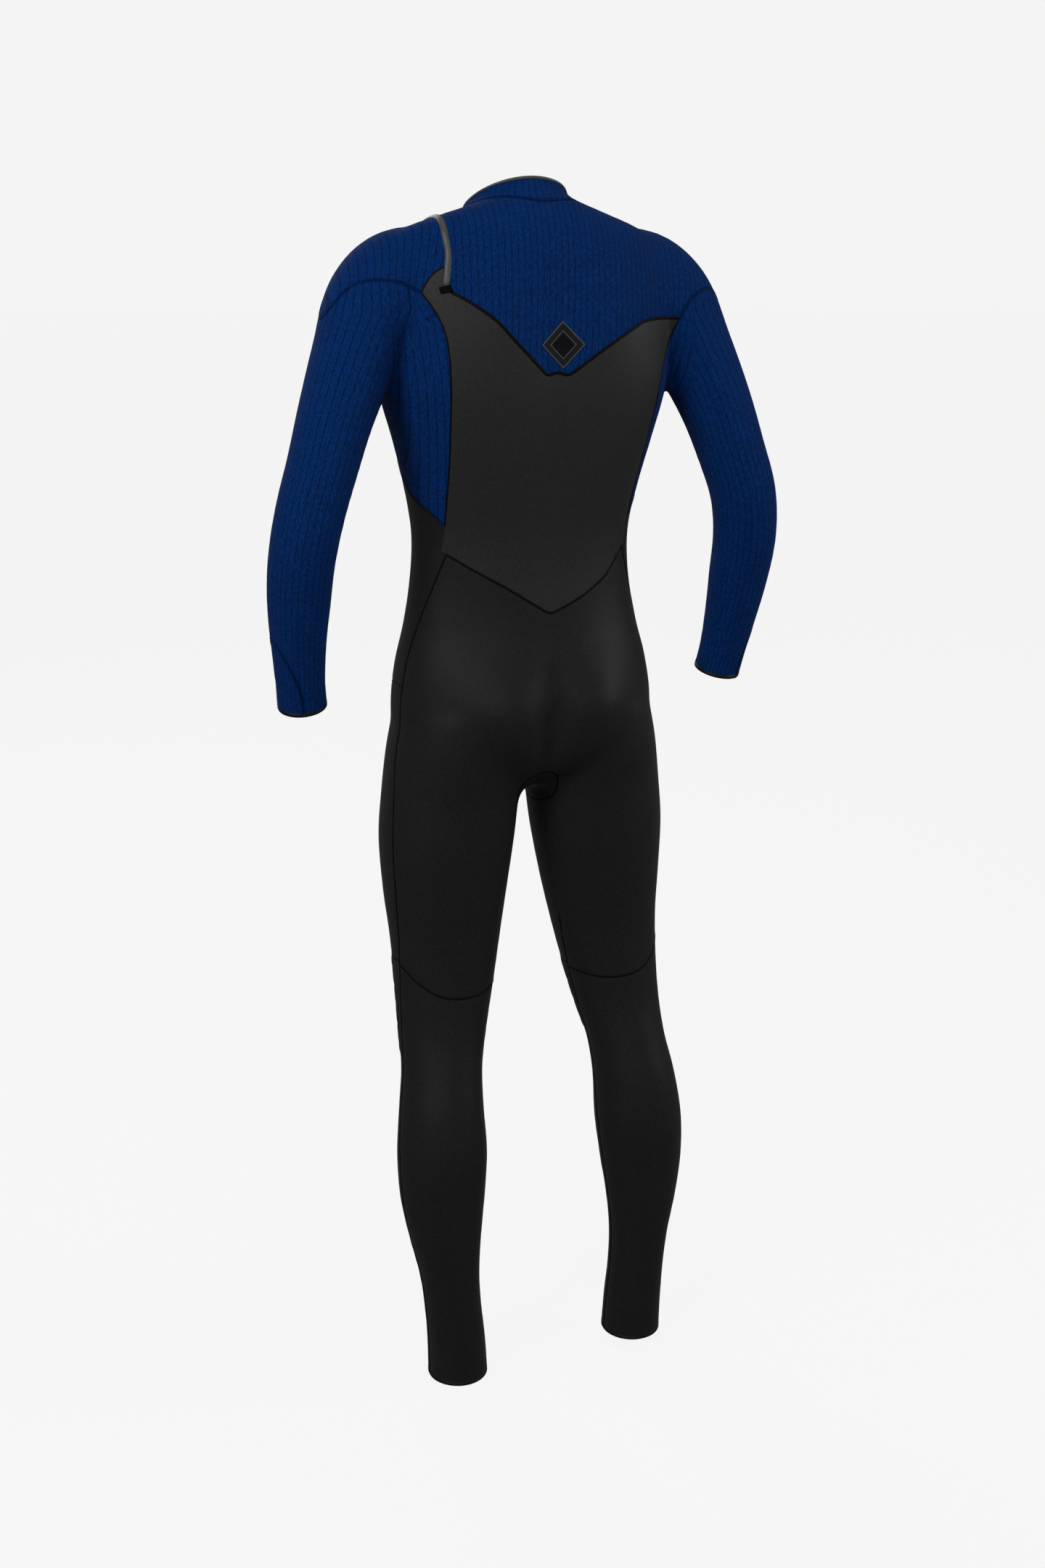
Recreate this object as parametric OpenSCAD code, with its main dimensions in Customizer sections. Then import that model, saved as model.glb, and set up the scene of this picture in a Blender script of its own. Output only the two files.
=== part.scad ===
// Full wetsuit with a chest-zip neck entry, drawn empty but filled out as if worn.
// Millimetres. +Z up, -Y the wearer's front, +X the wearer's left.
// Row heights are measured from the ankle hem; placed() moves the origin to the neck opening.

/* [Wall and seams] */
// neoprene thickness
thickness = 3.5; // [2.5:0.5:4.5]
// height of a raised seam bead above the panels
bead_height = 0.8; // [0.4:0.1:1.2]
// width of a raised seam bead
bead_width = 5; // [3:0.5:8]
// gap left round the entry flap, which moves
flap_gap = 0.6; // [0.4:0.1:1.5]

/* [Bindings] */
// width of the bound edge over the shoulder
binding_width = 8; // [6:0.5:12]
// how far the shoulder binding stands above the panels
binding_height = 1.8; // [1:0.2:2.6]
// depth of the binding round the top of the collar
neck_binding_depth = 6; // [4:0.5:9]

/* [Chest zip] */
// slope of the zip, rising towards the wearer's left
zip_slope = 12; // [6:1:16]
// radius of the curve the zip takes round the chest
zip_radius = 430; // [400:10:480]
// half length of the closed chain
chain_half = 88; // [80:1:92]
// distance between teeth
tooth_pitch = 4; // [3:0.5:5]
// width of one zip tape
tape_width = 15; // [12:1:18]
// length of the slider
slider_length = 20; // [16:1:22]
// length of the pull tab
pull_length = 34; // [24:1:44]

/* [Cuffs] */
// inside radius of the wrist seals
wrist_seal_r = 25; // [22:0.5:25.5]
// inside radius of the ankle seals
ankle_seal_r = 33; // [30:0.5:33.5]
// length of the seals
seal_length = 22; // [16:1:26]

/* [Hidden] */
// how finely the sections are drawn: points round each, and sections along each
around_torso = 30;
along_torso = 25;
around_arm = 16;
along_arm = 14;
around_leg = 16;
along_leg = 15;
reach = 400;
top_z = 1600;
neck_h = 1440;
neck_x = 4.3;
neck_y = -9.7;
zip_h = 1300;
zip_front = -117;
ridge_y = -5.4;
flap_right = -118;
flap_left = 122;
zip_edge = 8.5;
chain_depth = 2.4;
seal_wall = 2.5;
pad_rise = 1.2;
pin_height = 3.9;
slider_rest = (chain_half + 14) / zip_radius * 180 / PI;

// height, half width, front, back, squareness, tilt, shift to the left
torso_rows = [
  [758, 91, -73, 50, 2.0, 0, 0],
  [780, 134, -98, 76, 2.1, 0, 0],
  [816, 162, -115, 93, 2.2, 0, 0],
  [864, 168, -118, 98, 2.2, 0, 0],
  [917, 162, -115, 90, 2.2, 0, 0],
  [970, 149, -105, 76, 2.2, 0, 0],
  [1026, 140, -99, 69, 2.2, 0, 0],
  [1080, 138, -98, 72, 2.2, 0, 0],
  [1136, 147, -102, 85, 2.3, 0, 0],
  [1194, 161, -108, 99, 2.4, 0, 0],
  [1252, 177, -116, 107, 2.4, 0, 0],
  [1310, 182, -118, 105, 2.4, 0, 0],
  [1362, 179, -110, 100, 2.3, 0, 0],
  [1402, 167, -100, 93, 2.2, 0.05, 0],
  [1428, 142, -88, 82, 2.1, 0.12, 1],
  [1445, 100, -77, 68, 2.0, 0.22, 3],
  [1455, 70, -72, 56, 2.0, 0.32, 4],
  [1467, 60, -70, 47, 2.0, 0.4, 5]
];
// x, y, height, radius across, radius fore and aft
arm_rows = [
  [96, -8, 1378, 46, 48],
  [144, -8, 1384, 59, 59],
  [184, 0, 1349, 59, 60],
  [215, 15, 1291, 50, 55],
  [242, 29, 1229, 44, 50],
  [262, 38, 1171, 41, 47],
  [279, 42, 1118, 40, 45],
  [288, 34, 1064, 39, 43],
  [289, 19, 1008, 37, 40],
  [287, 7, 960, 33, 36],
  [283, -4, 912, 30, 31],
  [279, -12, 880, 30, 30]
];
// x, y, height, half width, front, back
leg_rows = [
  [81, -8, 864, 83, 94, 98],
  [87, -9, 816, 88, 94, 96],
  [94, -10, 758, 89, 89, 88],
  [102, -10, 700, 86, 86, 85],
  [106, -7, 634, 79, 78, 77],
  [109, 0, 576, 71, 71, 66],
  [114, 10, 518, 64, 64, 57],
  [121, 22, 461, 57, 60, 52],
  [128, 36, 413, 52, 54, 53],
  [134, 49, 365, 54, 54, 57],
  [137, 58, 307, 58, 53, 59],
  [139, 64, 250, 55, 48, 53],
  [138, 69, 197, 47, 43, 48],
  [134, 72, 144, 39, 40, 43],
  [130, 73, 96, 37, 38, 41],
  [126, 73, 48, 38, 39, 41],
  [124, 72, 0, 39, 40, 41]
];

// seam paths across the body, seen from the front or back: x, height
vee_left = [[126, 1367], [110, 1358], [90, 1345], [72, 1331], [50, 1308], [12, 1270]];
vee_right = [[-14, 1270], [-54, 1297], [-95, 1320], [-126, 1331], [-176, 1332]];
cap_left = [[150, 1363], [168, 1373], [190, 1377], [215, 1375], [232, 1364], [247, 1345], [264, 1316]];
cap_right = [[-176, 1332], [-188, 1352], [-205, 1363], [-222, 1366], [-238, 1358], [-252, 1340],
             [-264, 1316]];
edge_left = [[150, 1363], [138, 1344], [128, 1316], [124, 1275], [122, 1216], [119, 1161], [117, 1089]];
edge_right = [[-176, 1332], [-164, 1304], [-152, 1273], [-138, 1205], [-129, 1150], [-120, 1089]];
chevron = [[117, 1089], [119, 1064], [90, 1045], [50, 1022], [-6, 987], [-50, 1006], [-84, 1026],
           [-119, 1064], [-120, 1089]];
tab_edge = [[125, 1392], [136, 1384], [145, 1373], [150, 1363]];
knee_back = [[40, 513], [64, 510], [80, 507], [108, 507], [138, 512], [160, 526], [178, 547], [215, 600]];
pad_top = [[30, 500], [60, 522], [86, 544], [113, 552], [145, 554], [180, 548], [215, 540]];
pad_bottom = [[30, 452], [62, 430], [92, 414], [125, 408], [160, 414], [190, 430], [215, 448]];
thigh_top = [[-10, 790], [25, 800], [70, 826], [120, 862], [165, 900], [215, 940]];
// seam paths along the side, seen from the side: y, height
side_seam = [[75, 0], [75, 100], [72, 200], [66, 284], [52, 344], [34, 418], [24, 480], [20, 544],
             [20, 600], [20, 700], [15, 764], [8, 829], [8, 897], [8, 949], [16, 991], [36, 1060],
             [47, 1089]];
wedge_end = [[-150, 1258], [-90, 1205], [-50, 1172], [-3, 1132], [30, 1110], [47, 1089], [150, 1005]];
// where the shoulder binding runs: back from the tack to the ridge, x, height
band_back = [[126, 1368], [125, 1391], [120, 1410], [118, 1430], [117.5, 1470]];

function at(rows, i) = rows[max(0, min(len(rows) - 1, i))];
function spline(rows, t) =
  let(s = t * (len(rows) - 1), i = min(floor(s), len(rows) - 2), u = s - i,
      a = at(rows, i - 1), b = at(rows, i), c = at(rows, i + 1), d = at(rows, i + 2))
  0.5 * (2 * b + (c - a) * u + (2 * a - 5 * b + 4 * c - d) * u * u
         + (3 * b - a - 3 * c + d) * u * u * u);
function smooth(points, steps = 2) =
  let(n = (len(points) - 1) * steps) [for (i = [0:n]) spline(points, i / n)];
function power(v, n) = sign(v) * pow(abs(v), 2 / n);
function bell(v, width) = exp(-v * v / (width * width));
function unit(v) = v / norm(v);
function reversed(list) = [for (i = [len(list) - 1:-1:0]) list[i]];
function side_of(points, i) =
  let(d = unit(at(points, i + 1) - at(points, i - 1))) [-d[1], d[0]];
function stroke(points, width) =
  concat([for (i = [0:len(points) - 1]) points[i] + side_of(points, i) * width / 2],
         [for (i = [len(points) - 1:-1:0]) points[i] - side_of(points, i) * width / 2]);

function torso_ring(r, inset) =
  let(mid = (r[2] + r[3]) / 2, w = r[1] - inset, half = (r[3] - r[2]) / 2 - inset)
  [for (k = [0:around_torso - 1])
    let(a = 360 * k / around_torso,
        x = w * power(cos(a), r[4]),
        y = half * power(sin(a), r[4]),
        cleft = 12 * bell(x, 22) * bell(r[0] - 832, 75),
        spine = 6 * bell(x, 24) * bell(r[0] - 1170, 150),
        dip = sin(a) > 0 ? cleft + spine : 0)
    [x + r[6], mid + y - dip, r[0] + r[5] * y]];
function leg_ring(r, inset) =
  [for (k = [0:around_leg - 1])
    let(a = 360 * k / around_leg)
    [r[0] + (r[3] - inset) * cos(a), r[1] + ((sin(a) > 0 ? r[5] : r[4]) - inset) * sin(a), r[2]]];
function arm_along(t) =
  let(e = spline(arm_rows, min(1, t + 0.01)) - spline(arm_rows, max(0, t - 0.01))) unit([e[0], e[1], e[2]]);
function arm_ring(t, inset) =
  let(r = spline(arm_rows, t),
      along = arm_along(t),
      side = unit(cross([0, 1, 0], along)),
      fore = cross(along, side))
  [for (k = [0:around_arm - 1])
    let(a = 360 * k / around_arm)
    [r[0], r[1], r[2]] + side * ((r[3] - inset) * cos(a)) + fore * ((r[4] - inset) * sin(a))];
function moved(ring, by) = [for (p = ring) p + by];

module skin(rings) {
  n = len(rings[0]);
  m = len(rings);
  polyhedron(
    points = [for (r = rings) each r],
    faces = concat(
      [[for (k = [n - 1:-1:0]) k]],
      [for (j = [0:m - 2], k = [0:n - 1])
        [j * n + k, j * n + (k + 1) % n, (j + 1) * n + (k + 1) % n, (j + 1) * n + k]],
      [[for (k = [0:n - 1]) (m - 1) * n + k]]));
}

// each limb runs on past its opening by the given length, so a hollow cut with it is open
module torso(inset, run_on) {
  rings = [for (j = [0:along_torso]) torso_ring(spline(torso_rows, j / along_torso), inset)];
  last = rings[along_torso];
  skin(reversed(run_on > 0 ? concat(rings, [moved(last, [0, 0, run_on])]) : rings));
}
module arm(inset, run_on) {
  rings = [for (j = [0:along_arm]) arm_ring(j / along_arm, inset)];
  last = rings[along_arm];
  skin(reversed(run_on > 0 ? concat(rings, [moved(last, arm_along(1) * run_on)]) : rings));
}
module leg(inset, run_on) {
  rings = [for (j = [0:along_leg]) leg_ring(spline(leg_rows, j / along_leg), inset)];
  last = rings[along_leg];
  skin(run_on > 0 ? concat(rings, [moved(last, [0, 0, -run_on])]) : rings);
}
module body(inset = 0, run_on = 0) {
  torso(inset, run_on);
  for (m = [0, 1]) {
    mirror([m, 0, 0]) {
      arm(inset, run_on);
      leg(inset, run_on);
    }
  }
}
module shell() {
  difference() {
    body();
    body(thickness, 12);
  }
}
// thin layer lying on the outside of the panels
module layer(height) {
  difference() {
    body(-height);
    body(0, 5);
  }
}

function clean(points) =
  let(n = len(points)) [for (i = [0:n - 1]) if (norm(points[i] - points[(i + 1) % n]) > 0.3) points[i]];
module seen_from_front(points) {
  rotate([90, 0, 0]) linear_extrude(2 * reach, center = true) polygon(clean(points));
}
module seen_from_side(points) {
  rotate([90, 0, 90]) linear_extrude(2 * reach, center = true) polygon(clean(points));
}
module left_half() {
  translate([0, -reach, 0]) cube([reach, 2 * reach, top_z]);
}
module behind(y) {
  translate([-reach, y, 0]) cube([2 * reach, reach, top_z]);
}
module front_of(y) {
  translate([-reach, y - reach, 0]) cube([2 * reach, reach, top_z]);
}
module above(points) {
  seen_from_front(concat(points, [[points[len(points) - 1][0], top_z], [points[0][0], top_z]]));
}
module below(points) {
  seen_from_front(concat(points, [[points[len(points) - 1][0], -reach], [points[0][0], -reach]]));
}
// everything behind the side seams of the seat and legs
module seat_side() {
  path = smooth(side_seam, 3);
  seen_from_side(concat([[75, -50]], path, [[60, 1140], [reach, 1140], [reach, -50]]));
}
module neck_column(grow) {
  translate([neck_x, neck_y, 1380]) rotate([0, 0, 1.7]) cylinder(h = 200, r = 68 + grow, $fn = 72);
}

// --- outlines of the panels ---
module gusset_zone() {
  translate([0, 0, 752]) scale([1, 1, 1.1]) rotate([90, 0, 0])
    cylinder(h = 2 * reach, r = 32, center = true, $fn = 40);
}
module both_sides() {
  children();
  mirror([1, 0, 0]) children();
}
module sleeve_left_zone() {
  difference() {
    seen_from_front(concat([[reach, 1316]], reversed(smooth(cap_left)), smooth(edge_left),
                           [[117, 860], [reach, 860]]));
    intersection() {
      seen_from_side(concat(smooth(wedge_end), [[150, 0], [-150, 0]]));
      translate([0, -reach, 0]) cube([186, 2 * reach, 1226]);
    }
  }
}
module sleeve_right_zone() {
  difference() {
    seen_from_front(concat([[-reach, 1316]], reversed(smooth(cap_right)), smooth(edge_right),
                           [[-120, 860], [-reach, 860]]));
    intersection() {
      seen_from_side(concat(smooth(wedge_end), [[150, 0], [-150, 0]]));
      translate([-186, -reach, 0]) cube([186, 2 * reach, 1226]);
    }
  }
}
module back_zone() {
  intersection() {
    behind(0);
    seen_from_front(concat(smooth(vee_left), [[0, 1275]], smooth(vee_right), smooth(edge_right),
                           reversed(smooth(chevron, 1)), reversed(smooth(edge_left)),
                           reversed(smooth(tab_edge)), [[126, 1368]]));
  }
}
function wrist_line() = [[330, 985], [312, 945], [300, 918], [293, 896], [289, 860]];
module wrist_gusset_zone() {
  difference() {
    seen_from_front(concat(wrist_line(), [[380, 860], [380, 985]]));
    front_of(-10.7);
  }
}
module zip_frame() {
  translate([0, zip_front + zip_radius, zip_h]) rotate([0, -zip_slope, 0]) children();
}
// a bar bent along the zip: radial limits, limits up and down, half length
module zip_bar(r0, r1, z0, z1, half) {
  turn = half / zip_radius * 180 / PI;
  rotate([0, 0, -90 - turn])
    rotate_extrude(angle = 2 * turn, $fn = 360)
      translate([zip_radius + r0, z0]) square([r1 - r0, z1 - z0]);
}
module zip_slot() {
  zip_frame() zip_bar(-20, 20, -zip_edge, zip_edge, chain_half + slider_length + 12);
}
// height of a line that follows the zip, seen from the front
function along_zip(x, up) = zip_h + x * tan(zip_slope) + up / cos(zip_slope);
module above_zip(gap) {
  zip_frame() translate([-reach, -2 * reach, gap]) cube([2 * reach, 2 * reach, reach]);
}
module flap_zone(gap) {
  difference() {
    intersection() {
      front_of(ridge_y - gap / 2);
      translate([flap_right + gap / 2, -reach, 1200])
        cube([flap_left - flap_right - gap, reach, reach]);
      above_zip(zip_edge);
    }
    neck_column(gap / 2);
  }
}
// where the panels round the ends of the zip meet, just below the flap
function zip_corner_right() = [flap_right - flap_gap / 2, along_zip(flap_right, zip_edge - flap_gap)];
function zip_corner_left() = [flap_left + flap_gap / 2, along_zip(flap_left, zip_edge - flap_gap)];
// the shoulder outside the flap: down to the tab behind, down to the end of the zip in front
module shoulder_zone() {
  difference() {
    seen_from_front(concat([[120.3, top_z], [120.3, 1328]], smooth(cap_left),
                           [[reach, 1316], [reach, top_z]]));
    intersection() {
      behind(0.3);
      seen_from_front(concat([[119, 1300], [119, 1392]], smooth(tab_edge), [[150, 1300]]));
    }
    intersection() {
      front_of(ridge_y);
      translate([0, -reach, 0]) cube([flap_left + flap_gap / 2, reach * 2, top_z]);
    }
  }
}

// --- panels ---
// from the vee up over both shoulders to the neck, and down the front of the right shoulder
module yoke() {
  color("#0a2f6b") resize([0, 0, 0]) intersection() {
    shell();
    difference() {
      above(concat([[120, 1200]], [[-117, 1200], [-176, 1332]], smooth(cap_right), [[-reach, 1316]]));
      intersection() {
        behind(ridge_y);
        below(concat([[reach, 1367], [119, 1367]], [for (p = smooth(vee_left)) if (p[0] < 119) p],
                     [[0, 1275]], smooth(vee_right), [[-177, 1331]]));
      }
      intersection() {
        front_of(ridge_y);
        seen_from_front([[flap_right - flap_gap / 2, top_z], zip_corner_right(), [-176, 1332],
                         [-176, 1100], [reach, 1100], [reach, top_z]]);
      }
      neck_column(flap_gap / 2);
    }
  }
}
module shoulder_left() {
  color("#0d3574") resize([0, 0, 0]) intersection() {
    shell();
    shoulder_zone();
  }
}
module back_panel() {
  color("#2c2d30") resize([0, 0, 0]) intersection() {
    shell();
    back_zone();
  }
}
module seat_panel() {
  color("#1b1c1f") resize([0, 0, 0]) intersection() {
    shell();
    difference() {
      seat_side();
      back_zone();
      sleeve_left_zone();
      sleeve_right_zone();
      gusset_zone();
      both_sides() below(smooth(knee_back));
    }
  }
}
module crotch_gusset() {
  color("#17181b") resize([0, 0, 0]) intersection() {
    shell();
    gusset_zone();
  }
}
module front_torso() {
  color("#202125") resize([0, 0, 0]) intersection() {
    shell();
    difference() {
      both_sides() above(smooth(thigh_top));
      above([[-reach, 1332], [-176, 1332], zip_corner_right(), zip_corner_left(),
             [flap_left + flap_gap / 2, 1330.4], [150, 1363], [reach, 1363]]);
      seat_side();
      translate([-reach, 30, 1180]) cube([2 * reach, reach, reach]);
      // a hairline where the back's and the sleeve's outlines meet
      translate([100, 30, 1100]) cube([19.5, reach, 100]);
      back_zone();
      sleeve_left_zone();
      sleeve_right_zone();
      gusset_zone();
      zip_slot();
    }
  }
}
module sleeve_left() {
  color("#0a2f6b") resize([0, 0, 0]) intersection() {
    shell();
    difference() {
      sleeve_left_zone();
      wrist_gusset_zone();
      wrist_seal_space();
    }
  }
}
module sleeve_right() {
  color("#0a2f6b") resize([0, 0, 0]) intersection() {
    shell();
    difference() {
      sleeve_right_zone();
      mirror([1, 0, 0]) wrist_gusset_zone();
      mirror([1, 0, 0]) wrist_seal_space();
    }
  }
}
module wrist_gusset() {
  color("#0c3370") resize([0, 0, 0]) intersection() {
    shell();
    sleeve_left_zone();
    difference() {
      wrist_gusset_zone();
      wrist_seal_space();
    }
  }
}
module thigh_front() {
  color("#202125") resize([0, 0, 0]) intersection() {
    shell();
    left_half();
    difference() {
      above(smooth(pad_top));
      above(smooth(thigh_top));
      seat_side();
      gusset_zone();
      sleeve_left_zone();
    }
  }
}
module pad_zone() {
  difference() {
    below(smooth(pad_top));
    below(smooth(pad_bottom));
    seat_side();
  }
}
module knee_pad() {
  color("#26272b") resize([0, 0, 0]) intersection() {
    difference() {
      body(-pad_rise);
      body(thickness, 12);
    }
    left_half();
    pad_zone();
  }
}
module shin_front() {
  color("#202125") resize([0, 0, 0]) intersection() {
    shell();
    difference() {
      below(smooth(pad_bottom));
      seat_side();
      ankle_seal_space();
    }
  }
}
module calf() {
  color("#1b1c1f") resize([0, 0, 0]) intersection() {
    shell();
    seat_side();
    difference() {
      below(smooth(knee_back));
      ankle_seal_space();
    }
  }
}

// --- seals in the cuffs: axis along the cuff, out of the opening ---
module at_wrist() {
  out = arm_along(1);
  end = arm_rows[len(arm_rows) - 1];
  translate([end[0], end[1], end[2]])
    rotate([0, acos(out[2]), atan2(out[1], out[0])]) children();
}
module at_ankle() {
  end = leg_rows[len(leg_rows) - 1];
  translate([end[0], end[1], end[2]]) rotate([180, 0, 0]) children();
}
module ring(inner, outer, length) {
  rotate_extrude($fn = 96) translate([inner, -length]) square([outer - inner, length]);
}
// the room a seal takes inside the end of the limb
module seal_space(radius) {
  translate([0, 0, -seal_length]) cylinder(h = seal_length + 20, r = radius + seal_wall, $fn = 96);
}
module wrist_seal_space() {
  at_wrist() seal_space(wrist_seal_r);
}
module ankle_seal_space() {
  at_ankle() seal_space(ankle_seal_r);
}
module wrist_seal() {
  color("#101114") at_wrist() ring(wrist_seal_r, wrist_seal_r + seal_wall - 0.02, seal_length);
}
module ankle_seal() {
  color("#101114") at_ankle() ring(ankle_seal_r, ankle_seal_r + seal_wall - 0.02, seal_length);
}

// --- seams, bindings and trim lying on the panels ---
module trim(height, tint) {
  color(tint) resize([0, 0, 0]) intersection() {
    layer(height);
    children();
  }
}
module yoke_seam() {
  trim(bead_height, "#0b0c0e") intersection() {
    behind(20);
    seen_from_front(stroke(concat([for (p = smooth(vee_left)) if (p[0] < 119) p], [[0, 1274]],
                                  smooth(vee_right)), bead_width));
  }
}
module chevron_seam() {
  trim(bead_height, "#0b0c0e") intersection() {
    behind(20);
    seen_from_front(stroke(smooth([for (i = [1:7]) chevron[i]], 2), bead_width));
  }
}
module knee_seam() {
  trim(bead_height, "#0b0c0e") difference() {
    intersection() {
      seat_side();
      seen_from_front(stroke(smooth(knee_back), bead_width));
    }
    side_seam_zone();
  }
}
module side_seam_zone() {
  seen_from_side(stroke(smooth([for (i = [1:15]) side_seam[i]], 2), bead_width));
}
module side_seam_left() {
  trim(bead_height, "#0b0c0e") difference() {
    intersection() {
      side_seam_zone();
      translate([110, -reach, 0]) cube([105, 2 * reach, 1055]);
    }
    pad_zone();
  }
}
module shoulder_binding() {
  trim(binding_height, "#6e7072") difference() {
    intersection() {
      seen_from_front(stroke(smooth(band_back), binding_width));
      behind(ridge_y);
    }
    tack_zone();
  }
}
module flap_binding() {
  up = zip_edge + binding_width / 2 + 0.5;
  side_x = flap_left - flap_gap - binding_width / 2;
  trim(binding_height, "#6e7072") intersection() {
    flap_zone(flap_gap);
    front_of(ridge_y - flap_gap);
    seen_from_front(stroke(smooth(concat(
      [[side_x, 1480], [side_x, 1400], [side_x, 1356], [side_x - 5, 1342]],
      [for (x = [100:-20:-100]) [x, along_zip(x, up)]], [[-125, along_zip(-125, up)]])),
      binding_width));
  }
}
module tack_zone() {
  translate([125, 0, 1364]) rotate([0, 25, 0]) cube([binding_width + 4, reach, 6], center = true);
}
module band_tack() {
  trim(binding_height + 0.8, "#0b0c0e") intersection() {
    behind(20);
    tack_zone();
  }
}
module back_patch() {
  half = 27;
  trim(bead_height, "#303236") intersection() {
    behind(20);
    seen_from_front([[half - 4, 1306], [-4, 1306 + half], [-half - 4, 1306], [-4, 1306 - half]]);
  }
}

// --- entry flap: the collar and the front of the neck ---
module collar() {
  color("#0a2f6b") resize([0, 0, 0]) intersection() {
    shell();
    neck_column(-flap_gap / 2);
  }
}
module neck_lining(inset, drop, rise) {
  rings = [for (t = [1 - drop, 1 - drop / 2, 1]) torso_ring(spline(torso_rows, t), inset)];
  skin(reversed(concat(rings, [moved(rings[2], [0, 0, rise])])));
}
module neck_binding() {
  drop = neck_binding_depth / 160;
  color("#6e7072") resize([0, 0, 0]) difference() {
    neck_lining(-1.2, drop, 1.2);
    neck_lining(thickness + 1, drop * 2, 9);
    difference() {
      torso(0, 0);
      torso(thickness, 12);
    }
  }
}
module front_flap() {
  color("#0a2f6b") resize([0, 0, 0]) intersection() {
    shell();
    flap_zone(flap_gap);
  }
}

// --- chest zip ---
module tape(z0, z1, half) {
  zip_bar(-2.4, -1.6, z0, z1, half);
}
module teeth(side) {
  count = floor(chain_half * 2 / tooth_pitch);
  step = tooth_pitch / zip_radius * 180 / PI;
  low = side > 0 ? 0.3 : -2.8;
  zip_bar(-2.9, -1.1, side > 0 ? 1.6 : -2.8, side > 0 ? 2.8 : -1.6, chain_half);
  for (i = [0:count - 1])
    rotate([0, 0, -90 + (i - (count - 1) / 2 + side / 4) * step])
      translate([zip_radius - 3.2, -tooth_pitch / 4, low]) cube([chain_depth, tooth_pitch / 2, 2.5]);
}
module zip_tape_upper() {
  color("#121316") zip_frame() tape(2.8, tape_width, chain_half);
}
module zip_tape_lower() {
  color("#121316") zip_frame() tape(-tape_width, -2.8, chain_half + slider_length + 10);
}
module zip_teeth_upper() {
  color("#3a3b3e") zip_frame() teeth(1);
}
module zip_teeth_lower() {
  color("#3a3b3e") zip_frame() teeth(-1);
}
module zip_stop(side) {
  turn = side * (chain_half + slider_length + 7) / zip_radius * 180 / PI;
  color("#3a3b3e") zip_frame() rotate([0, 0, turn]) difference() {
    zip_bar(-3.4, -0.4, -6, -0.4, 2);
    zip_bar(-2.45, -1.55, -7, -2.75, 3);
  }
}
module zip_barrier() {
  color("#15161a") resize([0, 0, 0]) difference() {
    zip_frame() {
      zip_bar(-10, -8, -30, 24, 114);
      zip_bar(-10, -1, -30, -20, 114);
    }
    difference() {
      body(-10);
      body(thickness, 12);
    }
  }
}
module slider() {
  half = slider_length / 2;
  color("#4a4b4e") zip_frame() rotate([0, 0, slider_rest]) {
    zip_bar(0.3, 1.9, -6.5, 6.5, half);
    zip_bar(-1.2, 1, 3.3, 6.5, half);
    zip_bar(-1.2, 1, -6.5, -3.3, half);
    rotate([0, 0, -90]) translate([zip_radius, 0, 0]) {
      for (s = [-1, 1]) translate([1, -2, s * 4.1 - 0.9]) cube([4.4, 4, 1.8]);
      translate([pin_height, 0, 0]) cylinder(h = 9, r = 0.8, center = true, $fn = 24);
    }
  }
}
module slider_back() {
  color("#4a4b4e") zip_frame() rotate([0, 0, slider_rest])
    zip_bar(-5.4, -3.9, -6, 6, slider_length / 2 - 1);
}
module pull_tab() {
  color("#2f6fc0") zip_frame() rotate([0, 0, slider_rest - 90]) translate([zip_radius + pin_height, 0, 0])
    difference() {
      union() {
        cylinder(h = 5, r = 2, center = true, $fn = 36);
        translate([-1, -pull_length + 4.5, -2.5]) cube([2, pull_length - 4.5, 5]);
        translate([-1, -pull_length + 4.5, 0]) rotate([0, 90, 0]) cylinder(h = 2, r = 4.5, $fn = 36);
        translate([-1, -pull_length + 4.5, -4.5]) cube([2, pull_length - 14, 9]);
      }
      cylinder(h = 7, r = 1.15, center = true, $fn = 36);
      translate([-2, -pull_length + 6, 0]) rotate([0, 90, 0]) cylinder(h = 4, r = 2, $fn = 24);
    }
}

module placed() {
  translate([0, 0, -neck_h]) children();
}
module right() {
  mirror([1, 0, 0]) children();
}

placed() yoke();
placed() shoulder_left();
placed() back_panel();
placed() seat_panel();
placed() crotch_gusset();
placed() front_torso();
placed() sleeve_left();
placed() sleeve_right();
placed() wrist_gusset();  // wrist_gusset_left
placed() right() wrist_gusset();  // wrist_gusset_right
placed() thigh_front();  // thigh_front_left
placed() right() thigh_front();  // thigh_front_right
placed() knee_pad();  // knee_pad_left
placed() right() knee_pad();  // knee_pad_right
placed() shin_front();  // shin_front_left
placed() right() shin_front();  // shin_front_right
placed() calf();  // calf_left
placed() right() calf();  // calf_right
placed() wrist_seal();  // wrist_seal_left
placed() right() wrist_seal();  // wrist_seal_right
placed() ankle_seal();  // ankle_seal_left
placed() right() ankle_seal();  // ankle_seal_right
placed() yoke_seam();
placed() chevron_seam();
placed() knee_seam();  // knee_seam_left
placed() right() knee_seam();  // knee_seam_right
placed() side_seam_left();
placed() right() side_seam_left();  // side_seam_right
placed() shoulder_binding();
placed() band_tack();
placed() back_patch();
placed() zip_tape_lower();
placed() zip_teeth_lower();
placed() zip_stop(1);  // zip_stop_left
placed() zip_stop(-1);  // zip_stop_right
placed() zip_barrier();
placed() collar();
placed() neck_binding();
placed() front_flap();
placed() flap_binding();
placed() zip_tape_upper();
placed() zip_teeth_upper();
placed() slider();
placed() slider_back();
placed() pull_tab();
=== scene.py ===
"""Full wetsuit with a chest-zip neck entry, empty but filled out as if worn, on a pale floor.

The body's form is a set of smooth lofts in millimetres above the ankle hem. It is remeshed, cut along
the seams and split into one shell per panel. Seams, bindings, zip, seals and patch are built on it.
"""

import math

import bpy
import numpy as np
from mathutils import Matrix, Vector
from mathutils.bvhtree import BVHTree


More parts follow.
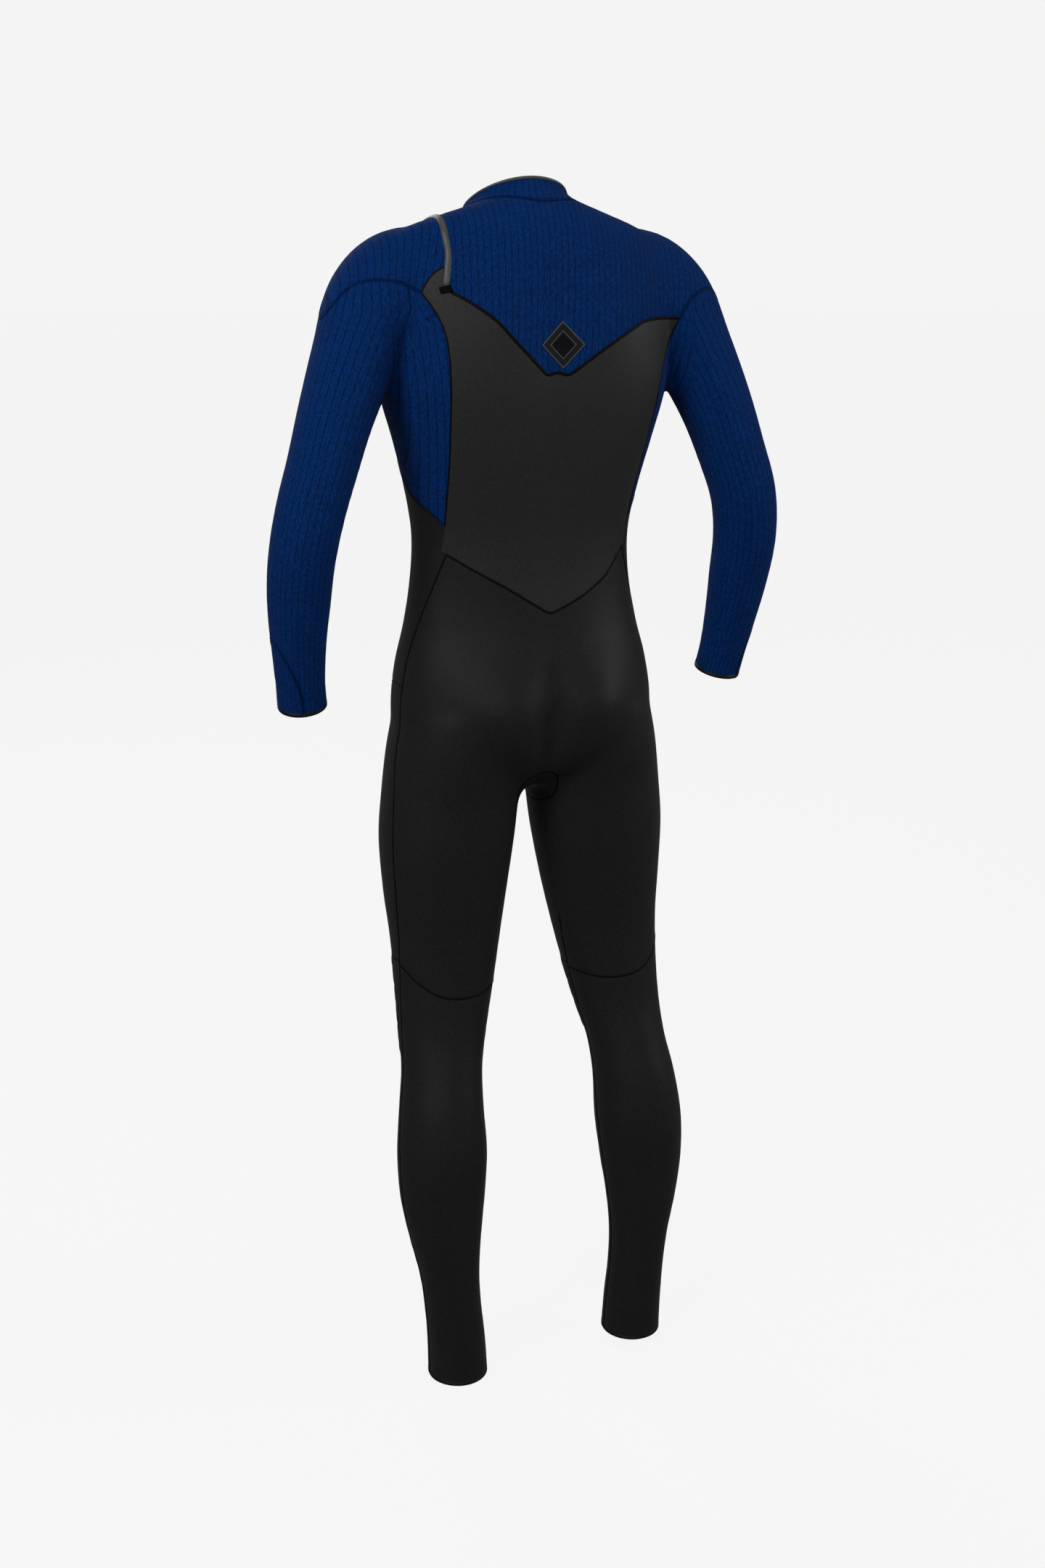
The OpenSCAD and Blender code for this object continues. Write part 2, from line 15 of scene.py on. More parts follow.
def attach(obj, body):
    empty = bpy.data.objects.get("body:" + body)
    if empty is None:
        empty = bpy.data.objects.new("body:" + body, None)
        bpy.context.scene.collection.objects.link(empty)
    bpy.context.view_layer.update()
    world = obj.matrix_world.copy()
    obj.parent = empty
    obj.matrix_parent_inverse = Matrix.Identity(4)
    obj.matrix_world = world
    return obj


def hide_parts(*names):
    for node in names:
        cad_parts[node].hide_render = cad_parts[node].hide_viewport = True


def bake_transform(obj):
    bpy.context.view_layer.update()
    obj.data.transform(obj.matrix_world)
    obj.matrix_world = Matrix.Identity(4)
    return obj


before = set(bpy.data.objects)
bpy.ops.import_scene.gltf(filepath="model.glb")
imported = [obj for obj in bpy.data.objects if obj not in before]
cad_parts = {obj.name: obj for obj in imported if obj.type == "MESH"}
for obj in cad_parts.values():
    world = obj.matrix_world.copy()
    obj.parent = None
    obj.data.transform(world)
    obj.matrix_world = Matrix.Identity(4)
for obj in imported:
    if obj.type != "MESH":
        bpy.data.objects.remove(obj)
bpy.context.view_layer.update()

# ---------------------------------------------------------------- sizes, in millimetres
MM = 0.001
NECK_H = 1440.0
# the skin: size of the remesh, rounds of filling and of smoothing, the cloth's depth, how deep a seam lies
REMESH = 5.5
FILL_ROUNDS, SMOOTH_ROUNDS = 130, 4
WALL = 3.2
GROOVE = 0.55
# the knit's grooves: their pitch, and the radius at which they are counted round an arm and the collar
RIB_PITCH = 7.6
RIB_ARM_R, RIB_COLLAR_R = 41, 64
# where the front's panels meet the back's on the shoulders, and the sides of the flap and the left shoulder
RIDGE_Y = -5.4
FLAP_RIGHT, FLAP_LEFT = -118.0, 122.0
SHOULDER_EDGE = 120.5
NECK_AT, NECK_R = (4.3, -9.7), 75.0
# the zip lies on a cylinder whose axis leans by its slope
ZIP_SLOPE, ZIP_R, ZIP_H, ZIP_FRONT = math.radians(12), 430.0, 1300.0, -117.0
ZIP_EDGE, CHAIN_HALF, TOOTH_PITCH, TAPE_WIDTH = 8.5, 88.0, 4.0, 15.0
SLIDER_AT = CHAIN_HALF + 14
GAP_HALF = SLIDER_AT + 14
PIN_OUT = 3.9
# gusset, front edge of the small wrist panels, and the knee pads' grooves
GUSSET_H, GUSSET_STRETCH, GUSSET_R = 762, 1.1, 26
WRIST_FRONT = -12
PAD_MID, PAD_GROOVES = 485, 24
FLOOR_Z, FLOOR_HALF = -1.4525, 80

# height, half width, front, back, squareness, tilt, shift to the left
TORSO_ROWS = [
    [774, 91, -73, 50, 2.0, 0, 0],
    [788, 134, -98, 76, 2.1, 0, 0],
    [816, 162, -115, 93, 2.2, 0, 0],
    [864, 168, -118, 98, 2.2, 0, 0],
    [917, 162, -115, 90, 2.2, 0, 0],
    [970, 149, -105, 76, 2.2, 0, 0],
    [1026, 140, -99, 69, 2.2, 0, 0],
    [1080, 138, -98, 72, 2.2, 0, 0],
    [1136, 147, -102, 85, 2.3, 0, 0],
    [1194, 161, -108, 99, 2.4, 0, 0],
    [1252, 177, -116, 107, 2.4, 0, 0],
    [1310, 182, -118, 105, 2.4, 0, 0],
    [1362, 179, -110, 100, 2.3, 0, 0],
    [1402, 167, -100, 93, 2.2, 0.05, 0],
    [1427, 157, -88, 82, 2.1, 0.13, 7],
    [1442, 111, -77, 68, 2.0, 0.27, 8],
    [1450, 69, -72, 56, 2.0, 0.42, 6],
    [1461, 60, -70, 47, 2.0, 0.5, 8],
]
# x, y, height, radius across, radius fore and aft
ARM_ROWS = [
    [96, -8, 1374, 46, 48],
    [144, -8, 1378, 58, 59],
    [184, 0, 1349, 59, 60],
    [215, 15, 1291, 50, 55],
    [242, 29, 1229, 44, 50],
    [262, 38, 1171, 41, 47],
    [279, 42, 1118, 40, 45],
    [288, 34, 1064, 39, 43],
    [289, 19, 1008, 37, 40],
    [287, 7, 960, 33, 36],
    [283, -4, 912, 30, 31],
    [279, -12, 880, 30, 30],
]
# x, y, height, half width, front, back
LEG_ROWS = [
    [81, -8, 864, 83, 94, 98],
    [87, -9, 816, 88, 94, 96],
    [96, -10, 758, 87, 89, 88],
    [102, -10, 700, 86, 86, 85],
    [106, -7, 634, 79, 78, 77],
    [109, 0, 576, 71, 71, 66],
    [114, 10, 518, 64, 64, 57],
    [121, 22, 461, 57, 60, 52],
    [128, 36, 413, 52, 54, 53],
    [134, 49, 365, 54, 54, 57],
    [137, 58, 307, 58, 53, 59],
    [139, 64, 250, 55, 48, 53],
    [138, 69, 197, 47, 43, 48],
    [134, 72, 144, 39, 40, 43],
    [130, 73, 96, 37, 38, 41],
    [126, 73, 48, 38, 39, 41],
    [124, 72, 0, 39, 40, 41],
]
# soft forms on the trunk: x, height, spread across, spread up, how far out, +1 back or -1 front
TRUNK_FORMS = [
    [66, 874, 46, 54, 15, 1],
    [74, 798, 50, 18, -7, 1],
    [0, 842, 17, 62, -15, 1],
    [84, 1322, 44, 62, 5, 1],
    [0, 1180, 22, 170, -6, 1],
    [72, 1280, 50, 40, 3, -1],
]
# how far each limb's end hangs from its mirror place: x, y, height
ARM_SWAY = {1: [6, 8, 3], -1: [3, -2, 2]}
LEG_SWAY = {1: [0, 3, -10], -1: [0, 5, 3]}

# seam paths seen from behind or the front: x, height
VEE_LEFT = [[126, 1367], [110, 1358], [90, 1345], [72, 1331], [50, 1308], [12, 1270]]
VEE_RIGHT = [[-14, 1270], [-54, 1297], [-95, 1320], [-126, 1331], [-176, 1332]]
CAP_LEFT = [[150, 1363], [168, 1373], [190, 1377], [215, 1375], [232, 1364], [247, 1345], [264, 1316]]
CAP_RIGHT = [[-176, 1332], [-188, 1352], [-205, 1363], [-222, 1366], [-238, 1358], [-252, 1340],
             [-264, 1316]]
EDGE_LEFT = [[150, 1363], [138, 1344], [128, 1316], [124, 1275], [122, 1216], [119, 1161], [117, 1089]]
EDGE_RIGHT = [[-176, 1332], [-164, 1304], [-152, 1273], [-138, 1205], [-129, 1150], [-120, 1089]]
CHEVRON = [[117, 1089], [119, 1064], [90, 1045], [50, 1022], [-6, 987], [-50, 1006], [-84, 1026],
           [-119, 1064], [-120, 1089]]
TAB_EDGE = [[125, 1392], [136, 1384], [145, 1373], [150, 1363]]
KNEE_BACK = [[40, 513], [64, 510], [80, 507], [108, 507], [138, 512], [160, 526], [178, 547], [215, 600]]
PAD_TOP = [[30, 500], [60, 522], [86, 544], [113, 552], [145, 554], [180, 548], [215, 540]]
PAD_BOTTOM = [[30, 452], [62, 430], [92, 414], [125, 408], [160, 414], [190, 430], [215, 448]]
THIGH_TOP = [[-10, 790], [25, 800], [70, 826], [120, 862], [165, 900], [215, 940]]
WRIST_LINE = [[340, 1000], [318, 955], [300, 918], [293, 896], [286, 840]]
# seam paths seen from the side: y, height
SIDE_SEAM = [[75, -40], [75, 100], [72, 200], [66, 284], [52, 344], [34, 418], [24, 480], [20, 544],
             [20, 600], [20, 700], [15, 764], [8, 829], [8, 897], [8, 949], [16, 991], [36, 1060],
             [47, 1089]]
WEDGE_END = [[-150, 1258], [-90, 1205], [-50, 1172], [-3, 1132], [30, 1110], [47, 1089], [150, 1005]]
# middle of the shoulder binding, seen from behind: x, height
BAND_BACK = [[125, 1369], [121, 1391], [119, 1408], [120.5, 1430]]


# ---------------------------------------------------------------- curves and lofts
def spline(rows, t):
    """Point at share t along a list of rows, by a smooth curve through all of them."""
    rows = np.asarray(rows, float)
    s = t * (len(rows) - 1)
    i = min(int(s), len(rows) - 2)
    u = s - i
    a, b, c, d = (rows[max(0, min(len(rows) - 1, i + k))] for k in (-1, 0, 1, 2))
    return 0.5 * (
        2 * b + (c - a) * u + (2 * a - 5 * b + 4 * c - d) * u * u + (3 * b - a - 3 * c + d) * u**3
    )


def smooth(points, steps=6):
    """The points of a path with a smooth curve between them."""
    n = (len(points) - 1) * steps
    return np.array([spline(points, i / n) for i in range(n + 1)])


def torso_ring(r, around):
    a = np.arange(around) * 2 * math.pi / around
    mid, half = (r[2] + r[3]) / 2, (r[3] - r[2]) / 2
    x = r[1] * np.sign(np.cos(a)) * np.abs(np.cos(a)) ** (2 / r[4])
    y = half * np.sign(np.sin(a)) * np.abs(np.sin(a)) ** (2 / r[4])
    form = np.zeros(around)
    for form_x, form_h, across, up, out, face in TRUNK_FORMS:
        side = np.clip(np.sin(a) * face * 2, 0, 1)
        near = np.exp(-(((np.abs(x) - form_x) / across) ** 2)) * math.exp(-(((r[0] - form_h) / up) ** 2))
        form += face * out * side * near
    return np.c_[x + r[6], mid + y + form, r[0] + r[5] * y]


def arm_along(t):
    e = spline(ARM_ROWS, min(1, t + 0.01)) - spline(ARM_ROWS, max(0, t - 0.01))
    return e[:3] / np.linalg.norm(e[:3])


def arm_ring(t, around):
    r = spline(ARM_ROWS, t)
    a = (np.arange(around) * 2 * math.pi / around)[:, None]
    along = arm_along(t)
    side = np.cross([0, 1, 0], along)
    side /= np.linalg.norm(side)
    return r[:3] + side * r[3] * np.cos(a) + np.cross(along, side) * r[4] * np.sin(a)


def leg_ring(t, around):
    r = spline(LEG_ROWS, t)
    a = np.arange(around) * 2 * math.pi / around
    depth = np.where(np.sin(a) > 0, r[5], r[4])
    return np.c_[r[0] + r[3] * np.cos(a), r[1] + depth * np.sin(a), np.full(around, r[2])]


def band_faces(first, second, n):
    """Triangles between two rings of n points, whose points start at the numbers first and second."""
    k = np.arange(n)
    k2 = (k + 1) % n
    a, b, c, d = first + k, first + k2, second + k2, second + k
    return [np.c_[a, b, c], np.c_[a, c, d]]


def loft(rings):
    """Closed triangle mesh through a list of rings that run upwards."""
    n, m = len(rings[0]), len(rings)
    points = np.vstack(rings + [rings[0].mean(0)[None], rings[-1].mean(0)[None]])
    k = np.arange(n)
    k2 = (k + 1) % n
    faces = [np.c_[np.full(n, m * n), k2, k]]
    for j in range(m - 1):
        faces += band_faces(j * n, (j + 1) * n, n)
    faces.append(np.c_[np.full(n, m * n + 1), (m - 1) * n + k, (m - 1) * n + k2])
    return points, np.vstack(faces)


def turned_loft(rings):
    """The same for rings that run the other way round."""
    points, faces = loft(rings)
    return points, faces[:, ::-1]


def arm_sway(points, s):
    """Moves an arm's points, heights included, to where that arm hangs."""
    share = np.clip((1350 - points[:, 2]) / 470, 0, 1)[:, None]
    return points + share * np.array(ARM_SWAY[s], float)


def leg_sway(points, s):
    share = np.clip((864 - points[:, 2]) / 864, 0, 1)[:, None]
    return points + share * np.array(LEG_SWAY[s], float)


def limb_lofts(run_on=20.0):
    """Trunk, arms and legs as closed lofts that run on past their openings."""
    torso = [torso_ring(spline(TORSO_ROWS, i / 120), 96) for i in range(121)]
    torso.append(torso[-1] + [0, 0, run_on])
    arm = [arm_ring(i / 90, 64) for i in range(91)]
    arm.append(arm[-1] + arm_along(1) * run_on)
    leg = [leg_ring(i / 100, 64) for i in range(101)]
    leg.append(leg[-1] - [0, 0, run_on])
    parts = [loft(torso)]
    for rings, sway in ((arm, arm_sway), (leg, leg_sway)):
        for s in (1, -1):
            points, faces = loft(rings[::-1])
            points = sway(points * [s, 1, 1], s)
            parts.append((points, faces if s > 0 else faces[:, ::-1]))
    return parts


def joined(parts):
    count, all_points, all_faces = 0, [], []
    for points, faces in parts:
        all_points.append(points)
        all_faces.append(faces + count)
        count += len(points)
    return np.vstack(all_points), np.vstack(all_faces)


# ---------------------------------------------------------------- the body's skin
def mesh_from(points, faces, name):
    """Mesh from millimetre points with heights above the ankle hem."""
    mesh = bpy.data.meshes.new(name)
    at = (np.asarray(points, float) - [0, 0, NECK_H]) * MM
    mesh.from_pydata(at.tolist(), [], [list(map(int, f)) for f in faces])
    return mesh


def add_object(mesh, name):
    obj = bpy.data.objects.new(name, mesh)
    bpy.context.scene.collection.objects.link(obj)
    return obj


def remeshed(points, faces, size):
    """One closed skin round overlapping lofts, as points and triangles."""
    obj = add_object(mesh_from(points, faces, "body_lofts"), "body_lofts")
    remesh = obj.modifiers.new("remesh", "REMESH")
    remesh.mode = "VOXEL"
    remesh.voxel_size = size * MM
    mesh = bpy.data.meshes.new_from_object(obj.evaluated_get(bpy.context.evaluated_depsgraph_get()))
    bpy.data.objects.remove(obj)
    mesh.calc_loop_triangles()
    tris = np.zeros(len(mesh.loop_triangles) * 3, int)
    mesh.loop_triangles.foreach_get("vertices", tris)
    at = np.zeros(len(mesh.vertices) * 3)
    mesh.vertices.foreach_get("co", at)
    bpy.data.meshes.remove(mesh)
    return at.reshape(-1, 3) / MM + [0, 0, NECK_H], tris.reshape(-1, 3)


def sides_of(tris):
    return np.vstack([tris[:, [0, 1]], tris[:, [1, 2]], tris[:, [2, 0]]])


def edges_of(tris):
    return np.unique(np.sort(sides_of(tris), axis=1), axis=0)


def normals_of(points, tris):
    a, b, c = (points[tris[:, k]] for k in range(3))
    face = np.cross(b - a, c - a)
    out = np.zeros_like(points)
    for k in range(3):
        np.add.at(out, tris[:, k], face)
    return out / np.maximum(np.linalg.norm(out, axis=1), 1e-9)[:, None]


def relax(points, tris, rounds, weight, fill_only=False):
    """Evens the skin out. With fill_only it only fills hollows, as cloth spans them."""
    edges = edges_of(tris)
    degree = np.bincount(edges.ravel(), minlength=len(points))[:, None]
    for _ in range(rounds):
        total = np.zeros_like(points)
        np.add.at(total, edges[:, 0], points[edges[:, 1]])
        np.add.at(total, edges[:, 1], points[edges[:, 0]])
        step = total / np.maximum(degree, 1) - points
        if fill_only:
            out = (step * normals_of(points, tris)).sum(1)
            step *= np.clip(out / 0.15, 0, 1)[:, None]
        points = points + 0.5 * step * weight[:, None]
    return points


def bell(points, centre, spread):
    return np.exp(-(np.linalg.norm(points - centre, axis=1) / spread) ** 2)


def fill_weight(points):
    """Where the limbs join the trunk: under and round the shoulders, at the hips and the crotch."""
    weight = np.zeros(len(points))
    for s in (1, -1):
        weight += bell(points, [s * 158, -4, 1376], 62) * ramp(points[:, 2], 1318, 1362)
        weight += bell(points, [s * 138, -4, 1418], 46)
        weight += 0.25 * bell(points, [s * 182, -20, 1290], 34)
        weight += 0.9 * bell(points, [s * 110, 0, 860], 75)
    weight += 0.8 * bell(points, [0, 0, 788], 46)
    return np.clip(weight * 1.3, 0, 1)


def zip_local(points):
    """Distance along the zip, up across it, and out from its curve."""
    x, y, h = points[:, 0], points[:, 1] - (ZIP_FRONT + ZIP_R), points[:, 2] - ZIP_H
    across = x * math.cos(ZIP_SLOPE) + h * math.sin(ZIP_SLOPE)
    up = -x * math.sin(ZIP_SLOPE) + h * math.cos(ZIP_SLOPE)
    return ZIP_R * np.arctan2(across, -y), up, np.hypot(across, y) - ZIP_R


def zip_point(along, up, out):
    """Point of the zip, in millimetres, from arrays of its own three measures."""
    along, up, out = np.broadcast_arrays(*(np.asarray(v, float) for v in (along, up, out)))
    turn = along / ZIP_R
    across, y = (ZIP_R + out) * np.sin(turn), -(ZIP_R + out) * np.cos(turn)
    x = across * math.cos(ZIP_SLOPE) - up * math.sin(ZIP_SLOPE)
    h = across * math.sin(ZIP_SLOPE) + up * math.cos(ZIP_SLOPE)
    return np.stack([x, y + ZIP_FRONT + ZIP_R, h + ZIP_H], axis=-1)


def ramp(v, start, end):
    """0 before start, 1 after end, smooth between."""
    t = np.clip((v - start) / (end - start), 0, 1)
    return t * t * (3 - 2 * t)


def rest_on_zip(points):
    """Brings the chest to the zip's own curve, so that its edges lie along the zip."""
    along, up, _ = zip_local(points)
    near = (1 - ramp(np.abs(up), 14, 60)) * (1 - ramp(np.abs(along), 112, 150)) * (points[:, 1] < 0)
    target = zip_point(along, up, np.zeros(len(points)))
    return points + (target - points) * near[:, None]


# ---------------------------------------------------------------- cutting along the seams
def outline_distance(points, outline):
    """Signed distance of 2-D points from a closed outline, negative inside."""
    outline = np.asarray(outline, float)
    best = np.full(len(points), 1e9)
    inside = np.zeros(len(points), bool)
    for a, b in zip(outline, np.roll(outline, -1, axis=0)):
        d = b - a
        if d @ d < 1e-9:
            continue
        t = np.clip(((points - a) @ d) / (d @ d), 0, 1)
        best = np.minimum(best, np.linalg.norm(points - a - t[:, None] * d, axis=1))
        spans = (a[1] > points[:, 1]) != (b[1] > points[:, 1])
        if d[1] != 0:
            at = a[0] + (points[:, 1] - a[1]) * d[0] / d[1]
            inside ^= spans & (points[:, 0] < at)
    return np.where(inside, -best, best)


def from_front(points, outline):
    return outline_distance(points[:, [0, 2]], outline)


def from_side(points, outline):
    return outline_distance(points[:, [1, 2]], outline)


def under(path):
    """Outline of everything below a path."""
    path = np.asarray(path, float)
    return np.vstack([path, [path[-1][0], -300], [path[0][0], -300]])


def cut(points, tris, field):
    """Splits the triangles where the field is 0. Corners close to the line are moved onto it."""
    value = field(points)
    edges = edges_of(tris)
    fa, fb = value[edges[:, 0]], value[edges[:, 1]]
    hit = fa * fb < 0
    e, t = edges[hit], fa[hit] / (fa[hit] - fb[hit])
    corner = np.where(t < 0.5, e[:, 0], e[:, 1])
    share = np.minimum(t, 1 - t)
    order = np.argsort(share, kind="stable")
    order = order[share[order] < 0.24]
    first = np.unique(corner[order], return_index=True)[1]
    order = order[first]
    points, value = points.copy(), value.copy()
    at = points[e[:, 0]] * (1 - t[:, None]) + points[e[:, 1]] * t[:, None]
    points[corner[order]] = at[order]
    value[corner[order]] = 0
    fa, fb = value[edges[:, 0]], value[edges[:, 1]]
    hit = fa * fb < 0
    e, t = edges[hit], (fa[hit] / (fa[hit] - fb[hit]))[:, None]
    fresh = points[e[:, 0]] * (1 - t) + points[e[:, 1]] * t
    n = len(points)
    key = e[:, 0] * n + e[:, 1]
    order = np.argsort(key)
    key, rank = key[order], order + n

    def middle(a, b):
        want = np.minimum(a, b) * n + np.maximum(a, b)
        return rank[np.searchsorted(key, want)]

    points = np.vstack([points, fresh])
    sign = np.sign(value)
    s = sign[tris]
    crossings = sum((s[:, k] * s[:, (k + 1) % 3] < 0).astype(int) for k in range(3))
    out = [tris[crossings == 0]]
    for k in range(3):
        a, b, c = tris[:, k], tris[:, (k + 1) % 3], tris[:, (k + 2) % 3]
        sa, sb, sc = sign[a], sign[b], sign[c]
        one = (crossings == 1) & (sa == 0)
        if one.any():
            m = middle(b[one], c[one])
            out += [np.c_[a[one], b[one], m], np.c_[a[one], m, c[one]]]
        two = (crossings == 2) & (sa * sb < 0) & (sa * sc < 0)
        if two.any():
            p, q = middle(a[two], b[two]), middle(a[two], c[two])
            out += [np.c_[a[two], p, q], np.c_[p, b[two], c[two]], np.c_[p, c[two], q]]
    return points, np.vstack(out)


# outlines of panels, seen from the front or the side, closed far outside the suit
FAR = 400.0
TOP = 1700.0
SLEEVE_LEFT = np.vstack([[[FAR, 1316]], smooth(CAP_LEFT)[::-1], smooth(EDGE_LEFT),
                         [[117, 800], [FAR, 800]]])
SLEEVE_RIGHT = np.vstack([[[-FAR, 1316]], smooth(CAP_RIGHT)[::-1], smooth(EDGE_RIGHT),
                          [[-120, 800], [-FAR, 800]]])
WEDGE = np.vstack([smooth(WEDGE_END), [[150, 0], [-150, 0]]])
BACK = np.vstack([smooth(VEE_LEFT), [[0, 1275]], smooth(VEE_RIGHT), smooth(EDGE_RIGHT),
                  np.array(CHEVRON[::-1]), smooth(EDGE_LEFT)[::-1], smooth(TAB_EDGE)[::-1], [[125, 1368]]])
SEAT_SIDE = np.vstack([smooth(SIDE_SEAM), [[60, 1140], [FAR, 1140], [FAR, -60]]])
SHOULDER_LEFT = np.vstack([[[SHOULDER_EDGE, TOP], [SHOULDER_EDGE, 1328]], smooth(CAP_LEFT),
                           [[FAR, 1316], [FAR, TOP]]])
SHOULDER_FRONT = np.vstack([[[FLAP_LEFT, TOP], [FLAP_LEFT, 1329.8]], SHOULDER_LEFT[2:]])
WRIST_AREA = np.vstack([WRIST_LINE, [[FAR, 840], [FAR, 1000]]])
NECK_CUT = TORSO_ROWS[-1]
NECK_MID_Y = (NECK_CUT[2] + NECK_CUT[3]) / 2


def zip_slant(x, up):
    """Height of a line that follows the zip, seen from the front."""
    return ZIP_H + x * math.tan(ZIP_SLOPE) + up / math.cos(ZIP_SLOPE)


CORNER_RIGHT = [FLAP_RIGHT, zip_slant(FLAP_RIGHT, ZIP_EDGE)]
CORNER_LEFT = [FLAP_LEFT, zip_slant(FLAP_LEFT, ZIP_EDGE)]
YOKE_FRONT = [[FLAP_RIGHT, TOP], CORNER_RIGHT, [-176, 1332], [-FAR, 1332], [-FAR, TOP]]


def only(zone, value):
    """The field where the zone holds, and a plain positive value elsewhere."""
    return np.where(zone, value, 50.0)


def mirrored_x(points):
    return np.c_[np.abs(points[:, 0]), points[:, 1:]]


def behind_seam(p):
    return only(p[:, 2] < 1140, from_side(p, SEAT_SIDE))


def below_line(p, path):
    """Negative below a path seen from the front, the same on both sides."""
    return from_front(mirrored_x(p), under(smooth(path)))


def from_wedge(p):
    return only((np.abs(p[:, 0]) < 190) & (p[:, 2] < 1230), from_side(p, WEDGE))


def from_gusset(p):
    return np.hypot(p[:, 0], (p[:, 2] - GUSSET_H) / GUSSET_STRETCH) - GUSSET_R


def from_collar(p):
    return np.hypot(p[:, 0] - NECK_AT[0], p[:, 1] - NECK_AT[1]) - NECK_R


def neck_level(p):
    """Height of the neck's slanted opening at each point."""
    return NECK_CUT[0] + NECK_CUT[5] * (p[:, 1] - NECK_MID_Y)


def neck_top(p):
    return only(p[:, 2] > 1380, neck_level(p) - p[:, 2])


def neck_edge(p):
    return (p[:, 2] > 1400) & (np.abs(p[:, 2] - neck_level(p)) < 2.0)


def arm_end(s):
    """Middle of an arm's opening, and the arm's direction there."""
    return arm_sway(spline(ARM_ROWS, 1)[:3][None] * [s, 1, 1], s)[0], arm_along(1) * [s, 1, 1]


def hem_fields():
    """Where the suit ends: neck, ankles and wrists. Each field is negative past the opening."""
    fields = [neck_top]
    for s in (1, -1):
        hem = LEG_SWAY[s][2]
        fields.append(lambda p, s=s, hem=hem: only((p[:, 0] * s > 0) & (p[:, 2] < 200), p[:, 2] - hem))
        end, along = arm_end(s)
        fields.append(lambda p, s=s, end=end, along=along: only(
            (p[:, 0] * s > 225) & (p[:, 2] < 1000), -(p - end) @ along))
    return fields


def seam_fields():
    """Every line along which panels meet."""
    back = lambda p: p[:, 1] > RIDGE_Y
    front = lambda p: p[:, 1] < RIDGE_Y
    leg_line = lambda path: lambda p: only(p[:, 2] < 1000, below_line(p, path))
    at_wrist = lambda p: (p[:, 2] < 1100) & (np.abs(p[:, 0]) > 240)
    return [
        lambda p: only(p[:, 0] > 0, from_front(p, SLEEVE_LEFT)),
        lambda p: only(p[:, 0] < 0, from_front(p, SLEEVE_RIGHT)),
        from_wedge,
        lambda p: only(p[:, 1] > 0, from_front(p, BACK)),
        behind_seam,
        lambda p: only(p[:, 2] < 900, from_gusset(p)),
        lambda p: only(p[:, 1] > 0, below_line(p, KNEE_BACK)),
        leg_line(PAD_TOP), leg_line(PAD_BOTTOM), leg_line(THIGH_TOP),
        lambda p: only((p[:, 2] > 1330) & back(p), p[:, 0] - SHOULDER_EDGE),
        lambda p: only((p[:, 2] > 1300) & front(p), p[:, 0] - FLAP_LEFT),
        lambda p: only((p[:, 2] > 1250) & front(p), p[:, 0] - FLAP_RIGHT),
        lambda p: only(front(p) & (p[:, 0] < -90), from_front(p, YOKE_FRONT)),
        lambda p: only(front(p) & (p[:, 0] > 60) & (p[:, 2] < 1375), from_front(p, SHOULDER_FRONT)),
        lambda p: only(front(p) & (np.abs(p[:, 0]) < 135), zip_local(p)[1] - ZIP_EDGE),
        lambda p: only(front(p) & (np.abs(p[:, 0]) < 122), zip_local(p)[1] + ZIP_EDGE),
        lambda p: only(p[:, 1] < 0, np.abs(zip_local(p)[0]) - GAP_HALF),
        lambda p: only(p[:, 2] > 1400, from_collar(p)),
        lambda p: only(p[:, 2] > 1300, p[:, 1] - RIDGE_Y),
        lambda p: only(at_wrist(p), from_front(mirrored_x(p), WRIST_AREA)),
        lambda p: only(at_wrist(p), p[:, 1] - WRIST_FRONT),
    ]


PANELS = [
    "front_torso", "yoke", "shoulder_left", "back_panel", "seat_panel", "crotch_gusset", "sleeve_left",
    "sleeve_right", "wrist_gusset_left", "wrist_gusset_right", "thigh_front_left", "thigh_front_right",
    "knee_pad_left", "knee_pad_right", "shin_front_left", "shin_front_right", "calf_left", "calf_right",
    "collar", "front_flap", "outside",
]
NUMBER = {name: i for i, name in enumerate(PANELS)}


